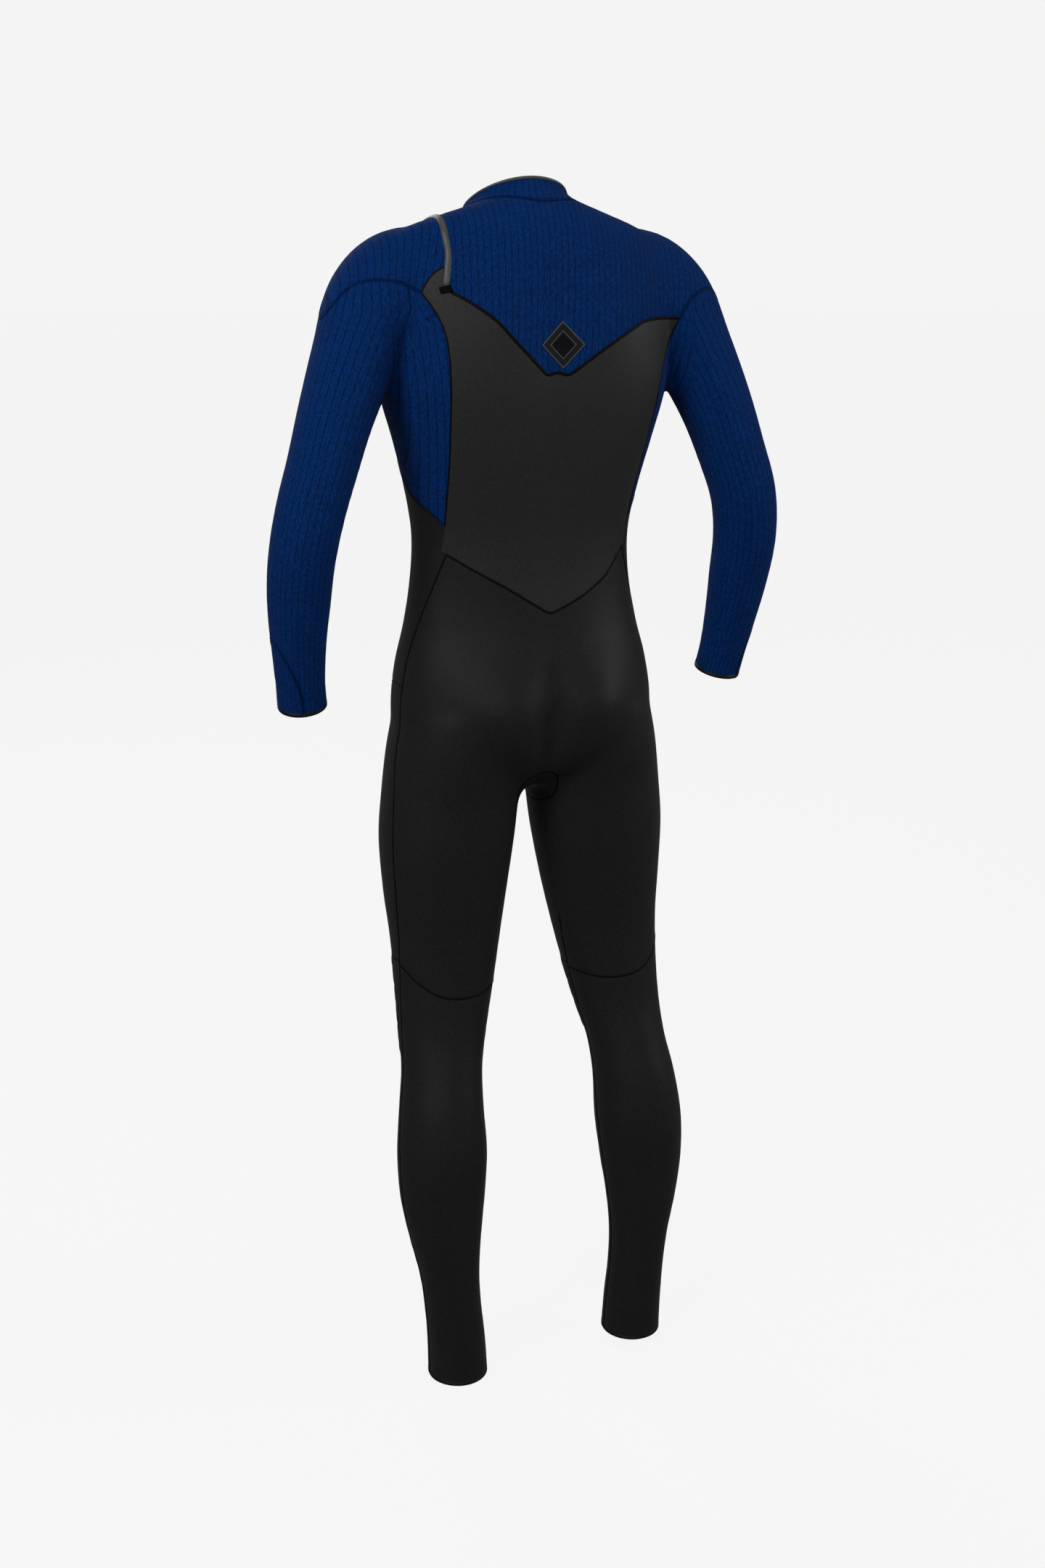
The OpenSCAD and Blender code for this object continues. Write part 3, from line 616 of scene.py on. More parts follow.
def classify(p):
    """Which panel each point belongs to, as a number into PANELS."""
    x, y, h = p.T
    side = np.where(x > 0, 0, 1)
    label = np.full(len(p), NUMBER["front_torso"])

    def put(zone, name):
        if name.endswith("_"):
            label[zone] = NUMBER[name + "left"] + side[zone]
        else:
            label[zone] = NUMBER[name]

    low = lambda path: (h < 1000) & (below_line(p, path) < 0)
    put(low(THIGH_TOP), "thigh_front_")
    put(low(PAD_TOP), "knee_pad_")
    put(low(PAD_BOTTOM), "shin_front_")
    behind = behind_seam(p) < 0
    put(behind, "seat_panel")
    put(behind & (below_line(p, KNEE_BACK) < 0), "calf_")
    put((h < 900) & (from_gusset(p) < 0), "crotch_gusset")
    put((y > 30) & (h > 1180) & (h < 1345), "back_panel")
    yoke_back = np.vstack([[[SHOULDER_EDGE, TOP], [SHOULDER_EDGE, 1362]],
                           [q for q in smooth(VEE_LEFT) if q[0] < 119], [[0, 1275]], smooth(VEE_RIGHT),
                           smooth(CAP_RIGHT), [[-FAR, 1316], [-FAR, TOP]]])
    put((y > RIDGE_Y) & (from_front(p, yoke_back) < 0), "yoke")
    put((y < RIDGE_Y) & (from_front(p, YOKE_FRONT) < 0), "yoke")
    put((y >= RIDGE_Y) & (from_front(p, SHOULDER_LEFT) < 0), "shoulder_left")
    put((y < RIDGE_Y) & (from_front(p, SHOULDER_FRONT) < 0), "shoulder_left")
    put((y > 0) & (from_front(p, BACK) < 0), "back_panel")
    not_side = from_wedge(p) >= 0
    put(not_side & (x > 0) & (from_front(p, SLEEVE_LEFT) < 0), "sleeve_left")
    put(not_side & (x < 0) & (from_front(p, SLEEVE_RIGHT) < 0), "sleeve_right")
    put((from_front(mirrored_x(p), WRIST_AREA) < 0) & (y > WRIST_FRONT), "wrist_gusset_")
    along, up, _ = zip_local(p)
    put((y < RIDGE_Y) & (x > FLAP_RIGHT) & (x < FLAP_LEFT) & (up > ZIP_EDGE), "front_flap")
    put((y < 0) & (np.abs(up) < ZIP_EDGE) & (np.abs(along) < GAP_HALF), "outside")
    put((h > 1400) & (from_collar(p) < 0), "collar")
    for field in hem_fields():
        label[field(p) < 0] = NUMBER["outside"]
    return label


class Skin:
    """The suit's whole outer skin: points, triangles, the panel of each triangle, and normals."""

    def __init__(self):
        points, tris = remeshed(*joined(limb_lofts()), REMESH)
        points = relax(points, tris, FILL_ROUNDS, fill_weight(points), fill_only=True)
        points = relax(points, tris, SMOOTH_ROUNDS, np.full(len(points), 0.8))
        points = rest_on_zip(points)
        for field in hem_fields() + seam_fields():
            points, tris = cut(points, tris, field)
        label = classify(points[tris].mean(1))
        keep = label != NUMBER["outside"]
        tris, label = tris[keep], label[keep]
        used, tris = np.unique(tris, return_inverse=True)
        self.points, self.tris, self.label = points[used], tris.reshape(-1, 3), label
        self.normals = normals_of(self.points, self.tris)
        self.flat_normals = self.normals.copy()
        self._press_in_seams()
        self.tree = BVHTree.FromPolygons(self.points.tolist(), self.tris.tolist())

    def _press_in_seams(self):
        low = np.full(len(self.points), 99)
        high = np.full(len(self.points), -1)
        for k in range(3):
            np.minimum.at(low, self.tris[:, k], self.label)
            np.maximum.at(high, self.tris[:, k], self.label)
        at_seam = low != high
        self.points[at_seam] -= GROOVE * self.normals[at_seam]
        self.normals = normals_of(self.points, self.tris)

    def borders(self, first, second):
        """Paths along which two groups of panels meet, longest first, as lists of point numbers."""
        a, b = ([NUMBER[n] for n in group] for group in (first, second))
        owner = np.tile(self.label, 3)
        pairs = np.sort(sides_of(self.tris), axis=1)
        key = pairs[:, 0] * len(self.points) + pairs[:, 1]
        in_a, in_b = np.unique(key[np.isin(owner, a)]), np.unique(key[np.isin(owner, b)])
        shared = np.intersect1d(in_a, in_b)
        return chains(np.c_[shared // len(self.points), shared % len(self.points)])

    def open_edges(self, zone):
        """Paths along the skin's open edges within a zone."""
        pairs = np.sort(sides_of(self.tris), axis=1)
        found, counts = np.unique(pairs, axis=0, return_counts=True)
        edge = found[counts == 1]
        return chains(edge[zone(self.points[edge].mean(1))])

    def on(self, at, direction=None):
        """Nearest point of the skin, or the one that a ray meets, with the skin's normal there."""
        if direction is None:
            spot, normal, _, _ = self.tree.find_nearest(Vector(at))
        else:
            spot, normal, _, _ = self.tree.ray_cast(Vector(at), Vector(direction))
        return np.array(spot), np.array(normal)


def chains(edges):
    """Joins edges end to end into paths, longest first."""
    nexts = {}
    for a, b in edges.tolist():
        nexts.setdefault(a, []).append(b)
        nexts.setdefault(b, []).append(a)
    out, seen = [], set()
    for start in sorted(nexts, key=lambda v: (len(nexts[v]) == 2, v)):
        for follow in nexts[start]:
            if (min(start, follow), max(start, follow)) in seen:
                continue
            path, here = [start], follow
            seen.add((min(start, follow), max(start, follow)))
            while True:
                path.append(here)
                ways = [v for v in nexts[here] if (min(here, v), max(here, v)) not in seen]
                if len(nexts[here]) != 2 or not ways:
                    break
                seen.add((min(here, ways[0]), max(here, ways[0])))
                here = ways[0]
            out.append(path)
    return sorted(out, key=len, reverse=True)


# ---------------------------------------------------------------- materials
class Shader:
    """A procedural material, with short calls for its nodes."""

    def __init__(self, name, roughness, sheen=0.0, specular=0.3):
        self.material = bpy.data.materials.new(name)
        self.material.use_nodes = True
        self.tree = self.material.node_tree
        self.surface = self.tree.nodes["Principled BSDF"]
        self.surface.inputs["Roughness"].default_value = roughness
        self.surface.inputs["Sheen Weight"].default_value = sheen
        self.surface.inputs["Sheen Roughness"].default_value = 0.45
        self.surface.inputs["Specular IOR Level"].default_value = specular
        self.place = self.tree.nodes.new("ShaderNodeTexCoord").outputs["Object"]

    def _set(self, socket, value):
        if isinstance(value, bpy.types.NodeSocket):
            self.tree.links.new(value, socket)
        else:
            socket.default_value = value

    def math(self, kind, a, b=0.0, c=0.0):
        node = self.tree.nodes.new("ShaderNodeMath")
        node.operation = kind
        for socket, value in zip(node.inputs, (a, b, c)):
            self._set(socket, value)
        return node.outputs[0]

    def noise(self, scale, detail=2.0, stretch=(1, 1, 1)):
        mapping = self.tree.nodes.new("ShaderNodeMapping")
        mapping.inputs["Scale"].default_value = stretch
        self._set(mapping.inputs["Vector"], self.place)
        node = self.tree.nodes.new("ShaderNodeTexNoise")
        node.inputs["Scale"].default_value = scale
        node.inputs["Detail"].default_value = detail
        self._set(node.inputs["Vector"], mapping.outputs[0])
        return node.outputs[0]

    def attribute(self, name):
        node = self.tree.nodes.new("ShaderNodeAttribute")
        node.attribute_name = name
        return node.outputs["Fac"]

    def ramp(self, value, start, end, low=0.0, high=1.0):
        node = self.tree.nodes.new("ShaderNodeMapRange")
        node.interpolation_type = "SMOOTHSTEP"
        for socket, v in zip(node.inputs, (value, start, end, low, high)):
            self._set(socket, v)
        return node.outputs[0]

    def mix(self, share, a, b, kind="MIX"):
        node = self.tree.nodes.new("ShaderNodeMix")
        node.data_type = "RGBA"
        node.blend_type = kind
        self._set(node.inputs["Factor"], share)
        for socket, value in ((node.inputs["A"], a), (node.inputs["B"], b)):
            self._set(socket, (*value, 1.0) if isinstance(value, tuple) else value)
        return node.outputs["Result"]

    def finish(self, colour, height=None, depth=0.0004, strength=0.6):
        base = (*colour, 1.0) if isinstance(colour, tuple) else colour
        self._set(self.surface.inputs["Base Color"], base)
        if height is not None:
            bump = self.tree.nodes.new("ShaderNodeBump")
            bump.inputs["Distance"].default_value = depth
            bump.inputs["Strength"].default_value = strength
            self._set(bump.inputs["Height"], height)
            self._set(self.surface.inputs["Normal"], bump.outputs["Normal"])
        return self.material


def scaled(colour, factor):
    return tuple(min(1.0, c * factor) for c in colour)


def ribbed_knit(name, colour, groove):
    """Knit with narrow vertical grooves, whose position is the mesh's rib attribute in millimetres. The
    grooves are also painted in the darker groove colour, as painted shade.
    """
    s = Shader(name, 0.9, sheen=0.012, specular=0.03)
    wobble = s.math("MULTIPLY", s.math("SUBTRACT", s.noise(420.0, 1.0, (1, 1, 0.5)), 0.5), 0.9)
    rib = s.math("DIVIDE", s.math("ADD", s.attribute("rib"), wobble), RIB_PITCH)
    away = s.math("ABSOLUTE", s.math("SUBTRACT", s.math("FRACT", rib), 0.5))
    line = s.ramp(away, 0.11, 0.03)
    flecks = s.ramp(s.noise(900.0, 2.0, (1, 1, 0.22)), 0.38, 0.66)
    broad = s.ramp(s.noise(9.0, 2.0), 0.3, 0.7)
    # painted shade: the groove lines, broken up by noise, mix in the darker groove colour
    painted_groove_shade = s.math("MULTIPLY", line, s.ramp(s.noise(300.0, 1.0), 0.3, 0.65, 0.35, 0.85))
    plain = s.mix(flecks, scaled(colour, 0.68), scaled(colour, 1.35))
    toned = s.mix(s.math("MULTIPLY", broad, 0.12), plain, scaled(colour, 1.35))
    height = s.math("ADD", s.math("MULTIPLY", line, -1.0), s.math("MULTIPLY", flecks, 0.35))
    return s.finish(s.mix(painted_groove_shade, toned, groove), height, 0.0004, 0.6)


def jersey(name, colour, heather, roughness=0.52, sheen=0.01):
    """Smooth knit face with fine stitches and a slight mix of lighter yarn."""
    s = Shader(name, roughness, sheen=sheen, specular=0.08)
    stitches = s.noise(1100.0, 2.0, (1, 1, 0.6))
    yarn = s.ramp(s.noise(620.0, 3.0, (1, 1, 0.5)), 0.42, 0.7)
    broad = s.ramp(s.noise(7.0, 2.0), 0.3, 0.7)
    plain = s.mix(yarn, colour, scaled(colour, 1 + heather))
    toned = s.mix(s.math("MULTIPLY", broad, 0.16), plain, scaled(colour, 1.3))
    return s.finish(toned, stitches, 0.0003, 0.5)


def rubber(name, colour, roughness, wear=0.15, grain=700.0, specular=0.4):
    """Soft rubber or film with a fine grain and slightly worn patches."""
    s = Shader(name, roughness, specular=specular)
    grainy = s.noise(grain, 3.0)
    worn = s.ramp(s.noise(45.0, 3.0), 0.45, 0.8)
    s._set(s.surface.inputs["Roughness"], s.ramp(worn, 0.0, 1.0, roughness - 0.06, roughness + 0.1))
    toned = s.mix(s.math("MULTIPLY", worn, wear), colour, scaled(colour, 1.6))
    return s.finish(toned, grainy, 0.00015, 0.4)


def tape_weave(name, colour):
    s = Shader(name, 0.8, sheen=0.2, specular=0.2)
    weave = s.math("MULTIPLY", s.noise(1500.0, 1.0, (1, 1, 0.3)), s.noise(1500.0, 1.0, (0.3, 1, 1)))
    return s.finish(s.mix(s.ramp(weave, 0.15, 0.4), colour, scaled(colour, 2.2)), weave, 0.0004)


BLUE = (0.0011, 0.0175, 0.088)
# the third colour is the painted shade in the knit's grooves
RIBBED_BLUE = ribbed_knit("ribbed_blue", BLUE, (0.0004, 0.0050, 0.026))
CHARCOAL = jersey("charcoal_jersey", (0.0150, 0.0151, 0.0153), 0.35)
BLACK = jersey("black_jersey", (0.0078, 0.0080, 0.0086), 0.5)
KNEE = jersey("knee_cover", (0.0105, 0.0106, 0.011), 0.6, roughness=0.7, sheen=0.01)
SEAM = rubber("seam_black", (0.0028, 0.0028, 0.003), 0.6, specular=0.04)
BINDING = rubber("grey_binding", (0.042, 0.043, 0.044), 0.5, wear=0.1, specular=0.25)
SEAL = rubber("seal_rubber", (0.004, 0.004, 0.0043), 0.55, specular=0.1)
TAPE = tape_weave("zip_tape", (0.006, 0.006, 0.0065))
ZIP_PLASTIC = rubber("zip_plastic", (0.020, 0.020, 0.021), 0.34, grain=300.0)
PULL_BLUE = rubber("pull_blue", (0.010, 0.10, 0.36), 0.4, grain=400.0)
PATCH_DARK = rubber("patch", (0.0060, 0.0066, 0.0080), 0.5, specular=0.1)
PATCH_LIGHT = rubber("patch_lines", (0.050, 0.053, 0.058), 0.5, specular=0.1)
PATCH_BLACK = rubber("patch_middle", (0.002, 0.0022, 0.003), 0.5, specular=0.08)

LOOK = {
    "back_panel": (CHARCOAL, "charcoal_jersey"),
    "knee_pad_left": (KNEE, "knee_cover"), "knee_pad_right": (KNEE, "knee_cover"),
}
for ribbed in ("yoke", "shoulder_left", "sleeve_left", "sleeve_right", "wrist_gusset_left",
               "wrist_gusset_right", "collar", "front_flap"):
    LOOK[ribbed] = (RIBBED_BLUE, "ribbed_blue")


def settle(obj, material, body, node=None, bend=False):
    """Material, body and CAD node of a finished piece; a bending piece gets its transform baked in instead
    of a body.
    """
    obj.data.materials.clear()
    obj.data.materials.append(material)
    if bend:
        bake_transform(obj)
    else:
        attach(obj, body)
    if node:
        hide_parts(*([node] if isinstance(node, str) else node))
    return obj


def rib_position(name, p):
    """Distance across the knit's grooves, in millimetres."""
    x, y, h = p.T
    if name in ("sleeve_left", "sleeve_right", "wrist_gusset_left", "wrist_gusset_right"):
        s = 1 if name.endswith("left") else -1
        rows = np.array([arm_sway((spline(ARM_ROWS, i / 40)[:3] * [s, 1, 1])[None], s)[0]
                         for i in range(41)])
        level = np.clip(h, rows[:, 2].min(), rows[8:, 2].max())
        axis_x = np.interp(-level, -rows[8:, 2], rows[8:, 0])
        axis_y = np.interp(-level, -rows[8:, 2], rows[8:, 1])
        around = np.arctan2((x - axis_x) * s, y - axis_y)
        on_trunk = x * s * 0.98 - 150 - (h - 1200) * 0.10
        trunk = (np.abs(x) < 195) & (h < 1330)
        return np.where(trunk, on_trunk, around * RIB_ARM_R)
    if name == "collar":
        return np.arctan2(x - NECK_AT[0], y - NECK_AT[1]) * RIB_COLLAR_R
    if name == "shoulder_left":
        return x * 0.97 + h * 0.22
    return x * 0.995 + (h - 1300) * 0.06


def shell_mesh(skin, keep, wall, lift=None):
    """Closed shell of the kept triangles: the skin outside, and a face the wall's depth inside it."""
    used, tris = np.unique(skin.tris[keep], return_inverse=True)
    tris = tris.reshape(-1, 3)
    outer, normals = skin.points[used].copy(), skin.normals[used]
    if lift is not None:
        outer += normals * lift[used][:, None]
    inner = skin.points[used] - normals * wall
    n = len(outer)
    pairs = sides_of(tris)
    both = np.sort(pairs, axis=1)
    _, where, counts = np.unique(both, axis=0, return_inverse=True, return_counts=True)
    rim = pairs[counts[where.ravel()] == 1]
    edge, back = np.unique(rim, return_inverse=True)
    rim_at = back.reshape(-1, 2)
    m = len(edge)
    points = np.vstack([outer, inner, outer[edge], inner[edge]])
    a, b = rim_at[:, 0] + 2 * n, rim_at[:, 1] + 2 * n
    faces = [tris, tris[:, ::-1] + n, np.c_[b, a, a + m], np.c_[b, a + m, b + m]]
    side = np.zeros((m, 3))
    edge_dir = outer[rim[:, 1]] - outer[rim[:, 0]]
    out = np.cross(edge_dir, normals[rim[:, 0]])
    np.add.at(side, rim_at[:, 0], out)
    np.add.at(side, rim_at[:, 1], out)
    side /= np.maximum(np.linalg.norm(side, axis=1), 1e-9)[:, None]
    normal = np.vstack([normals, -normals, side, side])
    return points, np.vstack(faces), normal


def smooth_piece(name, points, faces, normals=None):
    mesh = mesh_from(points, faces, name)
    mesh.polygons.foreach_set("use_smooth", np.ones(len(mesh.polygons), bool))
    if normals is not None:
        mesh.normals_split_custom_set_from_vertices(normals.tolist())
    return add_object(mesh, name)


def build_panels(skin):
    lift = pad_lift(skin)
    for name in PANELS[:-1]:
        keep = skin.label == NUMBER[name]
        padded = name.startswith("knee_pad")
        points, faces, normals = shell_mesh(skin, keep, WALL, lift if padded else None)
        obj = smooth_piece(name + "_cloth", points, faces, None if padded else normals)
        material, slot = LOOK.get(name, (BLACK, "black_jersey"))
        if material is RIBBED_BLUE:
            rib = obj.data.attributes.new("rib", "FLOAT", "POINT")
            rib.data.foreach_set("value", rib_position(name, points).astype(np.float32))
        settle(obj, material, "suit", name, bend=name in ("collar", "front_flap"))


def pad_lift(skin):
    """How far the knee pads stand out: a low pillow with shallow bending grooves across it."""
    lift = np.zeros(len(skin.points))
    for name in ("knee_pad_left", "knee_pad_right"):
        keep = skin.label == NUMBER[name]
        inside = np.unique(skin.tris[keep])
        others = np.unique(skin.tris[~keep])
        edge = np.intersect1d(inside, others)
        at, rim = skin.points[inside], skin.points[edge]
        away = np.array([np.linalg.norm(rim - p, axis=1).min() for p in at])
        groove = 0.5 + 0.5 * np.cos((at[:, 2] - PAD_MID) / PAD_GROOVES * 2 * math.pi)
        lift[inside] = 1.4 * ramp(away, 0, 9) * (1 - 0.45 * groove**6 * ramp(away, 8, 18))
    return lift


def resampled(path, step):
    gaps = np.linalg.norm(np.diff(path, axis=0), axis=1)
    at = np.r_[0, np.cumsum(gaps)]
    n = max(2, int(round(at[-1] / step)) + 1)
    where = np.linspace(0, at[-1], n)
    return np.stack([np.interp(where, at, path[:, k]) for k in range(path.shape[1])], axis=1)


def evened(path, rounds):
    path = path.copy()
    for _ in range(rounds):
        path[1:-1] = (path[:-2] + 2 * path[1:-1] + path[2:]) / 4
    return path


def beads(paths, width, height, sink=0.5, sides=8, power=2.0):
    """Raised beads along paths of points with normals: half-round on top, flat below."""
    parts = []
    for at, normals in paths:
        both = resampled(np.hstack([at, normals]), 2.5)
        at, normals = evened(both[:, :3], 3), evened(both[:, 3:], 4)
        normals /= np.linalg.norm(normals, axis=1)[:, None]
        along = np.gradient(at, axis=0)
        across = np.cross(along, normals)
        across /= np.linalg.norm(across, axis=1)[:, None]
        angles = np.linspace(0, math.pi, sides + 1)
        u, v = np.cos(angles), np.sin(angles) ** (2 / power)
        length = np.r_[0, np.cumsum(np.linalg.norm(np.diff(at, axis=0), axis=1))]
        taper = np.sqrt(ramp(length, -0.5, width * 0.5) * ramp(length[-1] - length, -0.5, width * 0.5))
        rings = []
        for p, n, s, k in zip(at, normals, across, taper):
            top = p + np.outer(u * width / 2 * k, s) + np.outer(v * height * k - 0.02, n)
            low = p - np.outer([sink], n)
            rings.append(np.vstack([top, low + s * width * 0.4 * -k, low + s * width * 0.4 * k]))
        parts.append(turned_loft(rings))
    return joined(parts)


def skin_paths(skin, first, second, least=25.0, zone=None):
    """Borders between panels as lists of points with the flat skin's normals."""
    out = []
    for path in skin.borders(first, second):
        at = skin.points[path]
        if zone is not None:
            keep = zone(at)
            if not keep.any():
                continue
            at, path = at[keep], np.array(path)[keep]
        if len(at) > 3 and np.linalg.norm(np.diff(at, axis=0), axis=1).sum() > least:
            out.append((at + skin.flat_normals[path] * GROOVE * 0.6, skin.flat_normals[path]))
    return out


BACKS = ["back_panel"]
LEFT_SLEEVE, RIGHT_SLEEVE = ["sleeve_left"], ["sleeve_right"]


def build_seams(skin):
    def seam(name, paths, width, height, node):
        points, faces = beads(paths, width, height)
        settle(smooth_piece(name, points, faces), SEAM, "suit", node)

    seam("yoke_seam_tape", skin_paths(skin, ["yoke"], BACKS), 3.6, 1.1, "yoke_seam")
    edges = skin_paths(skin, BACKS, LEFT_SLEEVE + RIGHT_SLEEVE + ["shoulder_left"])
    seam("back_edge_seams", edges, 2.2, 0.5, None)
    seam("chevron_seam_tape", skin_paths(skin, ["seat_panel"], BACKS), 3.0, 0.8, "chevron_seam")
    for s in ("left", "right"):
        legs = ["calf_" + s, "seat_panel"]
        fronts = ["thigh_front_" + s, "knee_pad_" + s, "shin_front_" + s, "front_torso"]
        right = s == "right"
        zone = lambda p, right=right: (p[:, 0] < -40) if right else (p[:, 0] > 40)
        seam("side_seam_tape_" + s, skin_paths(skin, legs, fronts, zone=zone), 2.6, 0.6, "side_seam_" + s)
        seam("knee_seam_tape_" + s, skin_paths(skin, ["calf_" + s], ["seat_panel"]), 3.0, 0.8,
             "knee_seam_" + s)
        pad_edges = skin_paths(skin, ["knee_pad_" + s], ["thigh_front_" + s, "shin_front_" + s])
        seam("pad_seams_" + s, pad_edges, 2.4, 0.6, None)
        seam("thigh_seam_" + s, skin_paths(skin, ["thigh_front_" + s], ["front_torso"]), 2.2, 0.5, None)
    others = [name for name in PANELS if name != "crotch_gusset"]
    seam("gusset_seam", skin_paths(skin, ["crotch_gusset"], others), 2.2, 0.5, None)


def stitches(paths, pitch, length, width, lift):
    """Short raised threads, one after another along the paths."""
    parts = []
    for at, normals in paths:
        both = resampled(np.hstack([evened(at, 4), normals]), pitch)
        at, normals = both[:, :3], both[:, 3:]
        along = np.gradient(at, axis=0)
        along /= np.linalg.norm(along, axis=1)[:, None]
        across = np.cross(along, normals)
        angles = np.arange(6) * math.pi / 3
        for p, n, t, s in zip(at, normals, along, across):
            rings = []
            for share, size in ((-0.5, 0.35), (-0.3, 1.0), (0.3, 1.0), (0.5, 0.35)):
                ring = np.outer(np.cos(angles), s) + np.outer(np.sin(angles), n)
                rings.append(p + t * share * length + n * lift + ring * width / 2 * size)
            parts.append(turned_loft(rings))
    return joined(parts)


THREAD = rubber("thread", (0.0004, 0.0045, 0.022), 0.7, specular=0.03)


def offset_paths(paths, sideways):
    """The same paths, moved across themselves on the skin."""
    out = []
    for at, normals in paths:
        along = np.gradient(at, axis=0)
        across = np.cross(along, normals)
        across /= np.maximum(np.linalg.norm(across, axis=1), 1e-9)[:, None]
        out.append((at + across * sideways, normals))
    return out


def build_stitching(skin):
    """Fine thread beside the seams where the ribbed panels meet each other."""
    groups = {
        "left": (LEFT_SLEEVE, ["shoulder_left"]),
        "right": (RIGHT_SLEEVE, ["yoke"]),
        "wrist_left": (LEFT_SLEEVE, ["wrist_gusset_left"]),
        "wrist_right": (RIGHT_SLEEVE, ["wrist_gusset_right"]),
        "side_left": (LEFT_SLEEVE, ["front_torso", "seat_panel"]),
        "side_right": (RIGHT_SLEEVE, ["front_torso", "seat_panel"]),
        "collar": (["collar"], ["yoke", "shoulder_left", "front_flap"]),
    }
    for name, (first, second) in groups.items():
        paths = skin_paths(skin, first, second)
        if not paths:
            continue
        points, faces = beads(paths, 1.1, 0.2, sink=0.3, sides=6)
        bend = name == "collar"
        line = smooth_piece("seam_line_" + name, points, faces)
        points, faces = stitches(offset_paths(paths, 1.8) + offset_paths(paths, -1.8), 3.2, 2.3, 0.7, 0.55)
        thread = smooth_piece("stitches_" + name, points, faces)
        settle(line, THREAD, "suit", bend=bend)
        settle(thread, THREAD, "suit", bend=bend)


# which way a ray goes, and how far off it starts
FROM_BACK, FROM_FRONT = ((0, -1, 0), (0, 300, 0)), ((0, 1, 0), (0, -300, 0))


def on_skin(skin, points, direction, start):
    """Points and normals where rays through the given points meet the skin."""
    out = [skin.on(np.array(p) + np.array(start), direction) for p in points]
    return np.array([o[0] for o in out]), np.array([o[1] for o in out])


def shoulder_band_path(skin):
    """Middle of the shoulder binding: up the back, over the ridge and down to the zip's end."""
    back = smooth(BAND_BACK, 8)
    at, normals = on_skin(skin, [[x, 0, h] for x, h in back if h < 1418], *FROM_BACK)
    over = [[119.5 + 2.5 * t, 46 - 92 * t, 0] for t in np.linspace(0, 1, 30)]
    top, top_normals = on_skin(skin, over, (0, 0, -1), (0, 0, 1600))
    down = np.array([[FLAP_LEFT, 0, h] for h in np.arange(1400, CORNER_LEFT[1] + 4, -4)])
    front, front_normals = on_skin(skin, down, *FROM_FRONT)
    return np.vstack([at, top, front]), np.vstack([normals, top_normals, front_normals])


def build_bindings(skin):
    at, normals = shoulder_band_path(skin)
    both = resampled(np.hstack([at, normals]), 2.5)
    rested = np.array([np.hstack(skin.on(p)) for p in evened(both[:, :3], 10)])
    both = np.hstack([evened(rested[:, :3], 4), evened(rested[:, 3:], 12)])
    both[:, 3:] /= np.linalg.norm(both[:, 3:], axis=1)[:, None]
    ridge = int(np.argmin(np.abs(both[:, 1] - RIDGE_Y)))
    band = both[: ridge + 3]
    points, faces = beads([(band[:, :3], band[:, 3:])], 8.2, 3.1, sides=12, power=2.4)
    settle(smooth_piece("shoulder_binding_strip", points, faces), BINDING, "suit",
           "shoulder_binding")
    flap = both[ridge - 2:]
    bottom_x = np.linspace(FLAP_LEFT, FLAP_RIGHT, 60)
    bottom = [[x, 0, zip_slant(x, ZIP_EDGE + 3.4)] for x in bottom_x]
    low, low_normals = on_skin(skin, bottom, *FROM_FRONT)
    at, normals = np.vstack([flap[:, :3], low]), np.vstack([flap[:, 3:], low_normals])
    points, faces = beads([(at, normals)], 7.6, 2.6, sides=12, power=2.4)
    settle(smooth_piece("flap_binding_strip", points, faces), BINDING, "flap",
           "flap_binding", bend=True)
    build_tack(skin)


def build_tack(skin):
    """Bar of close black stitches that holds the lower end of the shoulder binding."""
    parts = []
    for i in range(9):
        share = i / 8 - 0.5
        spots = [[125 + u * 6.2 + share * 1.5, 0, 1366.5 + share * 6.5 - u * 1.4]
                 for u in np.linspace(-1, 1, 7)]
        at, normals = on_skin(skin, spots, *FROM_BACK)
        raised = at + normals * (0.8 + 1.4 * np.cos(np.linspace(-1, 1, 7) * 1.3))[:, None]
        parts.append(beads([(raised, normals)], 0.95, 0.8, sink=0.6, sides=5))
    settle(smooth_piece("band_tack_thread", *joined(parts)), SEAM, "suit", "band_tack")


def closed_strip(rings):
    """Mesh from rings round a closed path, with the last ring joined to the first."""
    n, m = len(rings[0]), len(rings)
    points = np.vstack(rings)
    faces = []
    for j in range(m):
        faces += band_faces(j * n, (j + 1) % m * n, n)
    return points, np.vstack(faces)


def opening_loop(skin, centre, around, zone):
    """The edge of an opening as an ordered loop, with the skin's normals."""
    loops = skin.open_edges(zone)
    at = np.vstack([skin.points[path] for path in loops])
    normals = np.vstack([skin.flat_normals[path] for path in loops])
    first, second = around
    angle = np.arctan2((at - centre) @ second, (at - centre) @ first)
    order = np.argsort(angle)
    angle, at, normals = angle[order], at[order], normals[order]
    turns = np.linspace(-math.pi, math.pi, 97)[:-1]
    wrap = lambda v: np.interp(turns, np.r_[angle - 2 * math.pi, angle, angle + 2 * math.pi], np.tile(v, 3))
    at = np.stack([wrap(at[:, k]) for k in range(3)], axis=1)
    normals = np.stack([wrap(normals[:, k]) for k in range(3)], axis=1)
    for values in (at, normals):
        for _ in range(3):
            values[:] = (np.roll(values, 1, 0) + 2 * values + np.roll(values, -1, 0)) / 4
    return at, normals / np.linalg.norm(normals, axis=1)[:, None]


def lined_edge(loop, normals, inward, profile):
    """A band round an opening from a profile of (outward, along the cloth inwards) points."""
    rings = []
    for p, n in zip(loop, normals):
        along = inward - (inward @ n) * n
        along /= np.linalg.norm(along)
        rings.append(np.array([p + n * u + along * v for u, v in profile]))
    return closed_strip(rings)


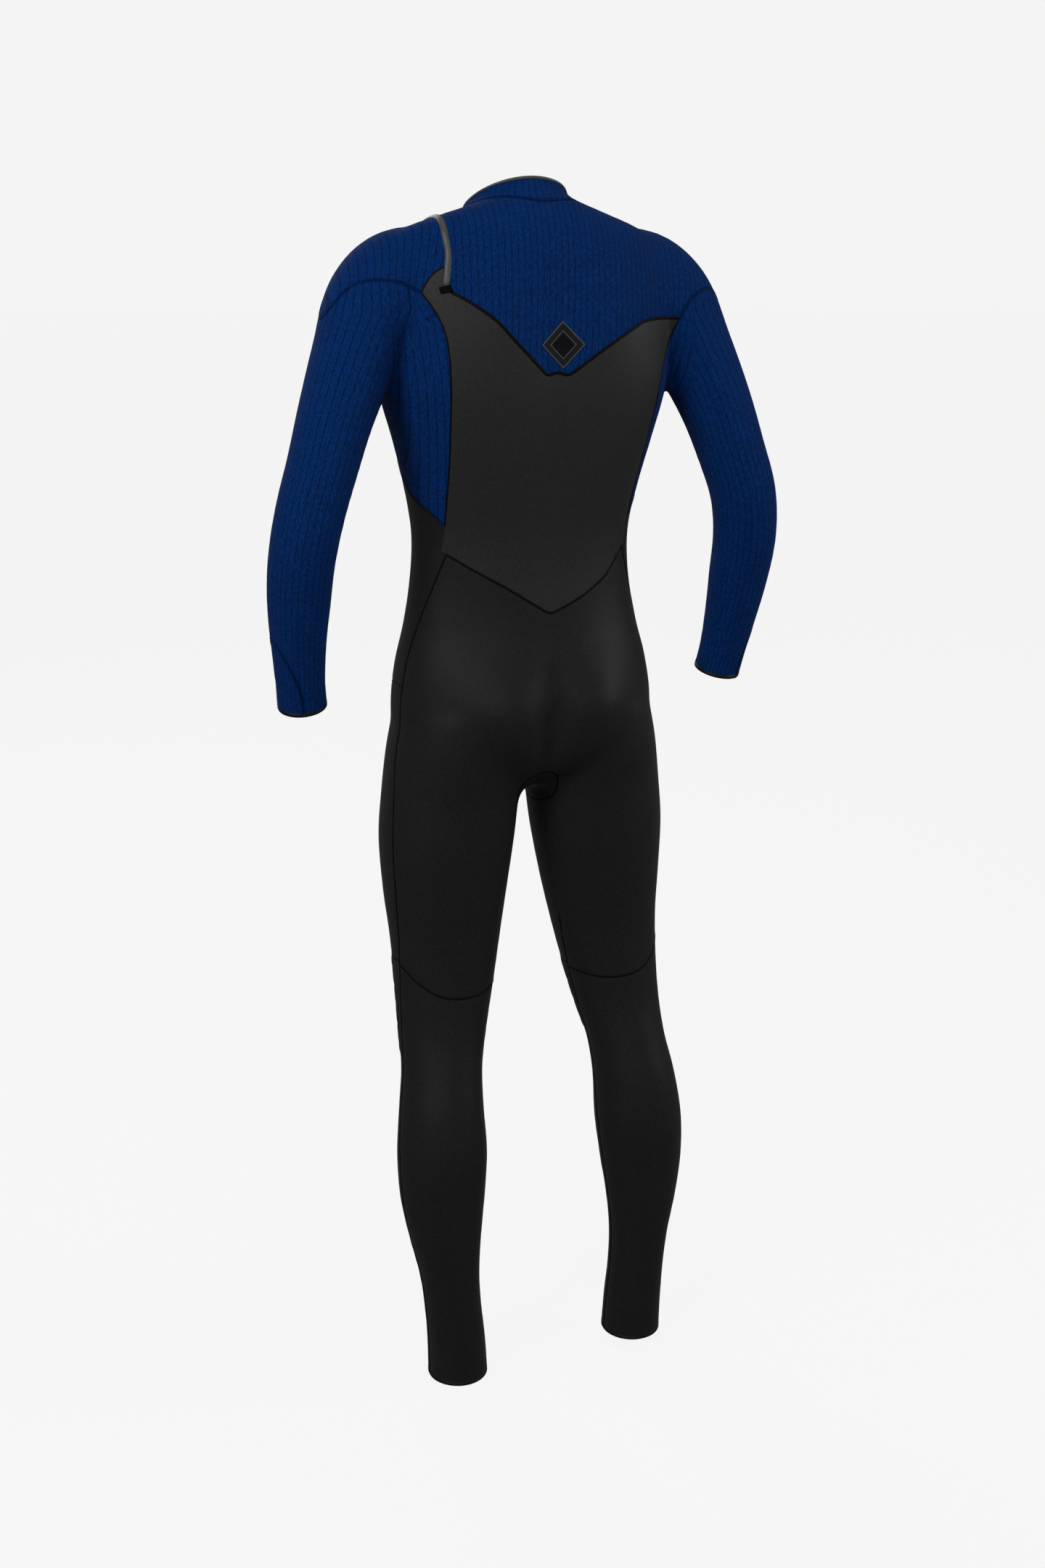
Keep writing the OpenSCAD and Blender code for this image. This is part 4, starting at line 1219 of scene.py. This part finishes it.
def rolled(width, depth, wall, lip):
    """Profile of a soft band wrapped over an edge: outside, round the end and down the inside."""
    half = (wall + 2 * lip) / 2
    mid = lip - half
    points = [(lip, depth)]
    for a in np.linspace(0, math.pi, 9):
        points.append((mid + half * math.cos(a), -half * 0.55 * math.sin(a)))
    points.append((-wall - lip, depth * width))
    points.append((-wall, depth * width))
    points.append((-0.1, depth))
    return points


def build_openings(skin):
    centre = np.array([NECK_CUT[6], NECK_MID_Y, NECK_CUT[0]])
    around = (np.array([1.0, 0, 0]), np.array([0, 1.0, 0]))
    loop, normals = opening_loop(skin, centre, around, neck_edge)
    down = np.array([0, -0.35, -1.0])
    down /= np.linalg.norm(down)
    points, faces = lined_edge(loop, normals, down, rolled(1.6, 2.6, WALL, 0.9))
    settle(smooth_piece("neck_binding_strip", points, faces), BINDING, "flap",
           "neck_binding", bend=True)
    for s, word in ((1, "left"), (-1, "right")):
        end, along = arm_end(s)
        side = np.cross([0, 1, 0], along)
        side /= np.linalg.norm(side)
        at_wrist = lambda p: (np.abs((p - end) @ along) < 1.5) & (p[:, 0] * s > 200)
        loop, normals = opening_loop(skin, end, (side, np.cross(along, side)), at_wrist)
        points, faces = lined_edge(loop, normals, -along, rolled(5.0, 4.5, WALL, 0.35))
        settle(smooth_piece("wrist_seal_band_" + word, points, faces), SEAL, "suit",
               "wrist_seal_" + word)
        hem = LEG_SWAY[s][2]
        foot = leg_sway(spline(LEG_ROWS, 1)[:3][None] * [s, 1, 1], s)[0]
        at_ankle = lambda p: (np.abs(p[:, 2] - hem) < 1.5) & (p[:, 0] * s > 0)
        loop, normals = opening_loop(skin, foot, around, at_ankle)
        points, faces = lined_edge(loop, normals, np.array([0, 0, 1.0]), rolled(5.0, 4.5, WALL, 0.35))
        settle(smooth_piece("ankle_seal_band_" + word, points, faces), SEAL, "suit",
               "ankle_seal_" + word)


def diamond_frame(half, outer, inner, lift, skin, centre):
    """Flat diamond, or a diamond frame, laid on the back."""
    n = 12
    corners = np.array([[1, 0], [0, 1], [-1, 0], [0, -1]], float)
    rim = np.vstack([np.linspace(corners[k], corners[(k + 1) % 4], n, endpoint=False) for k in range(4)])
    rings = [rim * half * k for k in np.linspace(outer, inner, 8)]
    flat = np.vstack(rings)
    at, normals = on_skin(skin, [[centre[0] - u, 0, centre[1] + v] for u, v in flat], *FROM_BACK)
    count = len(rim)
    top, low = at + normals * lift, at - normals * 0.3
    k = np.arange(count)
    k2 = (k + 1) % count
    faces = []
    for j in range(len(rings) - 1):
        faces += band_faces(j * count, (j + 1) * count, count)
    base = len(top)
    edge = [np.c_[k2, k, k + base], np.c_[k2, k + base, k2 + base]]
    return np.vstack([top, low]), np.vstack(faces + edge)


def build_patch(skin):
    """A plain diamond film on the upper back: dark ground, light border, inner line, black middle."""
    centre, half = (-7, 1305), 27.0
    layers = [
        ("back_patch_ground", 1.0, 0.0, 0.55, PATCH_DARK, "back_patch"),
        ("back_patch_border", 0.985, 0.915, 0.72, PATCH_LIGHT, None),
        ("back_patch_inner_line", 0.60, 0.55, 0.72, PATCH_LIGHT, None),
        ("back_patch_middle", 0.53, 0.0, 0.66, PATCH_BLACK, None),
    ]
    for name, outer, inner, lift, material, node in layers:
        points, faces = diamond_frame(half, outer, inner, lift, skin, centre)
        settle(smooth_piece(name, points, faces), material, "suit", node)


# ---------------------------------------------------------------- zip
def grid_box(a0, a1, u0, u1, r0, r1, n=1):
    """Closed bar in the zip's own measures, bent along the zip in n steps."""
    rings = []
    for along in np.linspace(a0, a1, n + 1):
        rings.append(zip_point(along, np.array([u0, u0, u1, u1]), np.array([r0, r1, r1, r0])))
    return turned_loft([r[::-1] for r in rings])


def tooth(along, side):
    """One moulded tooth: a base clamped on the tape's edge and a rounded head past the middle."""
    w = TOOTH_PITCH * 0.36
    rings = []
    sections = ((3.1, 1.0, 1.0), (1.2, 1.0, 1.0), (0.2, 0.72, 0.9), (-0.5, 1.15, 1.0), (-0.95, 0.8, 0.7))
    for up, size, out in sections:
        across = np.array([-1, -1, 1, 1]) * w * size
        depth = np.array([-2.9, -0.9, -0.9, -2.9])
        depth = -1.9 + (depth + 1.9) * out
        rings.append(zip_point(along + across, up * side, depth))
    if side > 0:
        rings = [r[::-1] for r in rings]
    return turned_loft(rings)


def build_chain():
    count = int(2 * CHAIN_HALF / TOOTH_PITCH)
    for side, word, body in ((1, "upper", "flap"), (-1, "lower", "suit")):
        length = CHAIN_HALF if side > 0 else GAP_HALF
        low, high = sorted((2.6 * side, TAPE_WIDTH * side))
        cord = sorted((2.2 * side, 3.4 * side))
        tape = joined([grid_box(-length, length, low, high, -2.4, -1.5, 60),
                       grid_box(-CHAIN_HALF, CHAIN_HALF, *cord, -2.9, -1.0, 60)])
        settle(smooth_flat("zip_tape_weave_" + word, *tape), TAPE, body, "zip_tape_" + word)
        teeth = [tooth((i - (count - 1) / 2 + side / 4) * TOOTH_PITCH, side) for i in range(count)]
        settle(smooth_flat("zip_teeth_moulded_" + word, *joined(teeth)), ZIP_PLASTIC, body,
               "zip_teeth_" + word)
    for s, word in ((1, "left"), (-1, "right")):
        mid = s * (SLIDER_AT + 13)
        stop = grid_box(mid - 2.2, mid + 2.2, -6, -0.4, -3.4, -0.3, 2)
        settle(smooth_flat("zip_stop_clip_" + word, *stop), ZIP_PLASTIC, "suit",
               "zip_stop_" + word)


def smooth_flat(name, points, faces, bevel=0.0):
    """A hard piece with crisp edges, and a small bevel where asked."""
    mesh = mesh_from(points, faces, name)
    obj = add_object(mesh, name)
    if bevel:
        mod = obj.modifiers.new("bevel", "BEVEL")
        mod.width = bevel * MM
        mod.segments = 2
        mod.limit_method = "ANGLE"
    return obj


def zip_outline(points_2d, r0, r1):
    """Flat plate at the slider, from an outline of (along, up) points, between two distances out."""
    points_2d = np.array(points_2d, float)
    rings = [zip_point(points_2d[:, 0] + SLIDER_AT, points_2d[:, 1], r) for r in (r0, r1)]
    return turned_loft([r[::-1] for r in rings])


def slider_outline(half_length, half_width):
    """Slider plate: wide at the open end, waisted towards the closed end, with round corners."""
    shape = [(-1, 0.62), (-0.85, 0.78), (-0.3, 0.86), (0.2, 0.98), (0.75, 1.0), (0.93, 0.9), (1.0, 0.62)]
    upper = [(a * half_length, b * half_width) for a, b in shape]
    return upper + [(a, -b) for a, b in upper[::-1]]


def build_slider():
    front = zip_outline(slider_outline(10, 6.5), 0.3, 1.9)
    flanges = [grid_box(SLIDER_AT - 9, SLIDER_AT + 9, u0, u1, -1.1, 0.4, 3)
               for u0, u1 in ((5.1, 6.3), (-6.3, -5.1))]
    profile = [(-3.6, 1.6), (-2.0, 4.6), (-0.8, 5.3), (0.8, 5.3), (2.0, 4.6), (3.6, 1.6)]
    ears = []
    for side in (-1, 1):
        rings = [np.array([zip_point(SLIDER_AT + a, side * 4.1 + w, r) for a, r in profile])
                 for w in (-0.9, 0.9)]
        ears.append(turned_loft(rings))
    body = smooth_flat("slider_body", *joined([front, *flanges, *ears]), bevel=0.35)
    settle(body, ZIP_PLASTIC, "slider", "slider")
    pin = round_bar((SLIDER_AT, 0, PIN_OUT), 0.8, 9.2)
    settle(smooth_piece("slider_pin", *pin), ZIP_PLASTIC, "slider")
    back = zip_outline(slider_outline(9, 6.0), -5.4, -3.9)
    plate = smooth_flat("slider_back_plate", *back, bevel=0.3)
    settle(plate, ZIP_PLASTIC, "slider", "slider_back")


def round_bar(centre, radius, length, sides=20):
    along, up, out = centre
    angles = np.arange(sides) * 2 * math.pi / sides
    rings = [zip_point(along + radius * np.cos(angles), up + z * length / 2, out + radius * np.sin(angles))
             for z in (-1, 1)]
    return turned_loft(rings)


def tab_point(out, up, away):
    """Point of the pull tab: distance out from the tape, across the zip, and away from the pin."""
    turn = SLIDER_AT / ZIP_R
    base = zip_point(SLIDER_AT, up, PIN_OUT + out)
    back = np.array([-math.cos(turn) * math.cos(ZIP_SLOPE), -math.sin(turn),
                     -math.cos(turn) * math.sin(ZIP_SLOPE)])
    return base + away * back


def build_pull():
    """Rubber pull tab that hangs along the zip: an eye on the pin, a neck and a ribbed grip."""
    profile = [(-2.6, 1.9, 2.4), (-1.6, 2.3, 2.5), (0.0, 2.3, 2.5), (2.4, 1.8, 2.4), (4.0, 1.2, 2.3),
               (8.0, 1.1, 2.6), (11.0, 1.25, 3.6), (13.5, 1.5, 4.3)]
    for i in range(6):
        start = 14.5 + i * 2.4
        profile += [(start, 1.7, 4.5), (start + 1.0, 1.7, 4.5), (start + 1.4, 1.25, 4.5),
                    (start + 2.0, 1.25, 4.5)]
    profile += [(29.2, 1.6, 4.4), (31.5, 1.5, 3.9), (33.0, 1.2, 2.9), (33.8, 0.7, 1.6)]
    angles = np.arange(20) * 2 * math.pi / 20
    c, s = np.cos(angles), np.sin(angles)
    rings = []
    for away, thick, wide in profile:
        up = wide * np.sign(c) * np.abs(c) ** 0.55
        out = thick * np.sign(s) * np.abs(s) ** 0.75
        rings.append(tab_point(out, up, away))
    points, faces = turned_loft(rings)
    settle(smooth_piece("pull_tab_grip", points, faces), PULL_BLUE, "pull", "pull_tab")


def build_barrier():
    """Smooth panel inside the chest, behind the zip, that keeps water out."""
    alongs, ups = np.linspace(-114, 114, 80), np.linspace(-30, 24, 14)
    grid_a, grid_u = np.meshgrid(alongs, ups)
    front, back = (zip_point(grid_a, grid_u, out - 0.6 * np.cos(grid_a / 38)).reshape(-1, 3)
                   for out in (-7.2, -9.6))
    n, m = len(alongs), len(ups)
    j, i = np.meshgrid(np.arange(m - 1), np.arange(n - 1), indexing="ij")
    a = (j * n + i).ravel()
    sheet = np.vstack([np.c_[a, a + 1, a + n + 1], np.c_[a, a + n + 1, a + n]])
    rim = np.r_[np.arange(n), np.arange(1, m) * n + n - 1, np.arange(n - 2, -1, -1) + (m - 1) * n,
                np.arange(m - 2, 0, -1) * n]
    step = len(front)
    nxt = np.roll(rim, -1)
    faces = np.vstack([sheet, sheet[:, ::-1] + step, np.c_[nxt, rim, rim + step],
                       np.c_[nxt, rim + step, nxt + step]])
    obj = smooth_flat("zip_barrier_panel", np.vstack([front, back]), faces)
    settle(obj, BLACK, "suit", "zip_barrier")


# ---------------------------------------------------------------- studio
def light_world(tree):
    """An even pale surround that lights the object less than it shows."""
    shown = tree.nodes["Background"]
    shown.inputs["Color"].default_value = (1, 1, 1, 1)
    shown.inputs["Strength"].default_value = 0.905
    lighting = tree.nodes.new("ShaderNodeBackground")
    lighting.inputs["Color"].default_value = (1, 1, 1, 1)
    lighting.inputs["Strength"].default_value = 0.20
    mix = tree.nodes.new("ShaderNodeMixShader")
    rays = tree.nodes.new("ShaderNodeLightPath")
    tree.links.new(rays.outputs["Is Camera Ray"], mix.inputs[0])
    tree.links.new(lighting.outputs[0], mix.inputs[1])
    tree.links.new(shown.outputs[0], mix.inputs[2])
    tree.links.new(mix.outputs[0], tree.nodes["World Output"].inputs["Surface"])


# where each lamp stands, in metres, its size and its power
LAMPS = [((3.1, 1.9, 1.5), 1.3, 104), ((-3.1, 1.3, 0.5), 1.2, 54), ((1.0, 3.3, 1.1), 1.3, 34),
         ((0.4, -3.2, 1.4), 2.0, 48), ((0.2, 0.4, 2.4), 1.4, 8)]


def build_studio():
    floor = bpy.data.meshes.new("floor")
    corners = [(x * FLOOR_HALF, y * FLOOR_HALF, FLOOR_Z) for x, y in ((-1, -1), (1, -1), (1, 1), (-1, 1))]
    floor.from_pydata(corners, [], [(0, 1, 2, 3)])
    ground = add_object(floor, "floor")
    pale = Shader("pale_floor", 0.9, specular=0.1)
    tone = pale.mix(pale.noise(0.6, 2.0), (0.030, 0.030, 0.030), (0.033, 0.033, 0.033))
    pale._set(pale.surface.inputs["Emission Color"], (1.0, 1.0, 1.0, 1.0))
    pale.surface.inputs["Emission Strength"].default_value = 0.885
    floor.materials.append(pale.finish(tone))
    ground.visible_diffuse = ground.visible_glossy = False
    world = bpy.data.worlds.new("studio")
    bpy.context.scene.world = world
    world.use_nodes = True
    light_world(world.node_tree)
    bpy.context.scene.view_settings.view_transform = "Standard"
    target = Vector((0, 0, -0.62))
    for i, (spot, size, power) in enumerate(LAMPS):
        lamp = bpy.data.lights.new(f"softbox_{i}", "AREA")
        lamp.size, lamp.energy = size, power
        obj = bpy.data.objects.new(f"softbox_{i}", lamp)
        bpy.context.scene.collection.objects.link(obj)
        obj.location = spot
        obj.rotation_mode = "QUATERNION"
        obj.rotation_quaternion = (target - Vector(spot)).to_track_quat("-Z", "Y")


CAMERA = {"azimuth": 158.481, "elevation": 15.44, "distance": 2.390, "right": -0.0133, "up": 0.0144,
          "lens": 43.68}


def build_camera():
    data = bpy.data.cameras.new("camera")
    data.lens, data.sensor_width, data.dof.use_dof = CAMERA["lens"], 36, False
    obj = bpy.data.objects.new("camera", data)
    bpy.context.scene.collection.objects.link(obj)
    a, e = math.radians(CAMERA["azimuth"]), math.radians(CAMERA["elevation"])
    back = Vector((math.sin(a) * math.cos(e), -math.cos(a) * math.cos(e), math.sin(e)))
    right = (-back).cross(Vector((0, 0, 1))).normalized()
    up = right.cross(-back)
    target = Vector((0, 0.03, 0.75 - NECK_H * MM)) + right * CAMERA["right"] + up * CAMERA["up"]
    obj.rotation_mode = "QUATERNION"
    obj.location = target + back * CAMERA["distance"]
    obj.rotation_quaternion = (-back).to_track_quat("-Z", "Y")
    data.clip_start, data.clip_end = 0.05, 60
    bpy.context.scene.camera = obj


skin = Skin()
build_panels(skin)
build_seams(skin)
build_stitching(skin)
build_bindings(skin)
build_openings(skin)
build_patch(skin)
build_chain()
build_slider()
build_pull()
build_barrier()
build_studio()
build_camera()
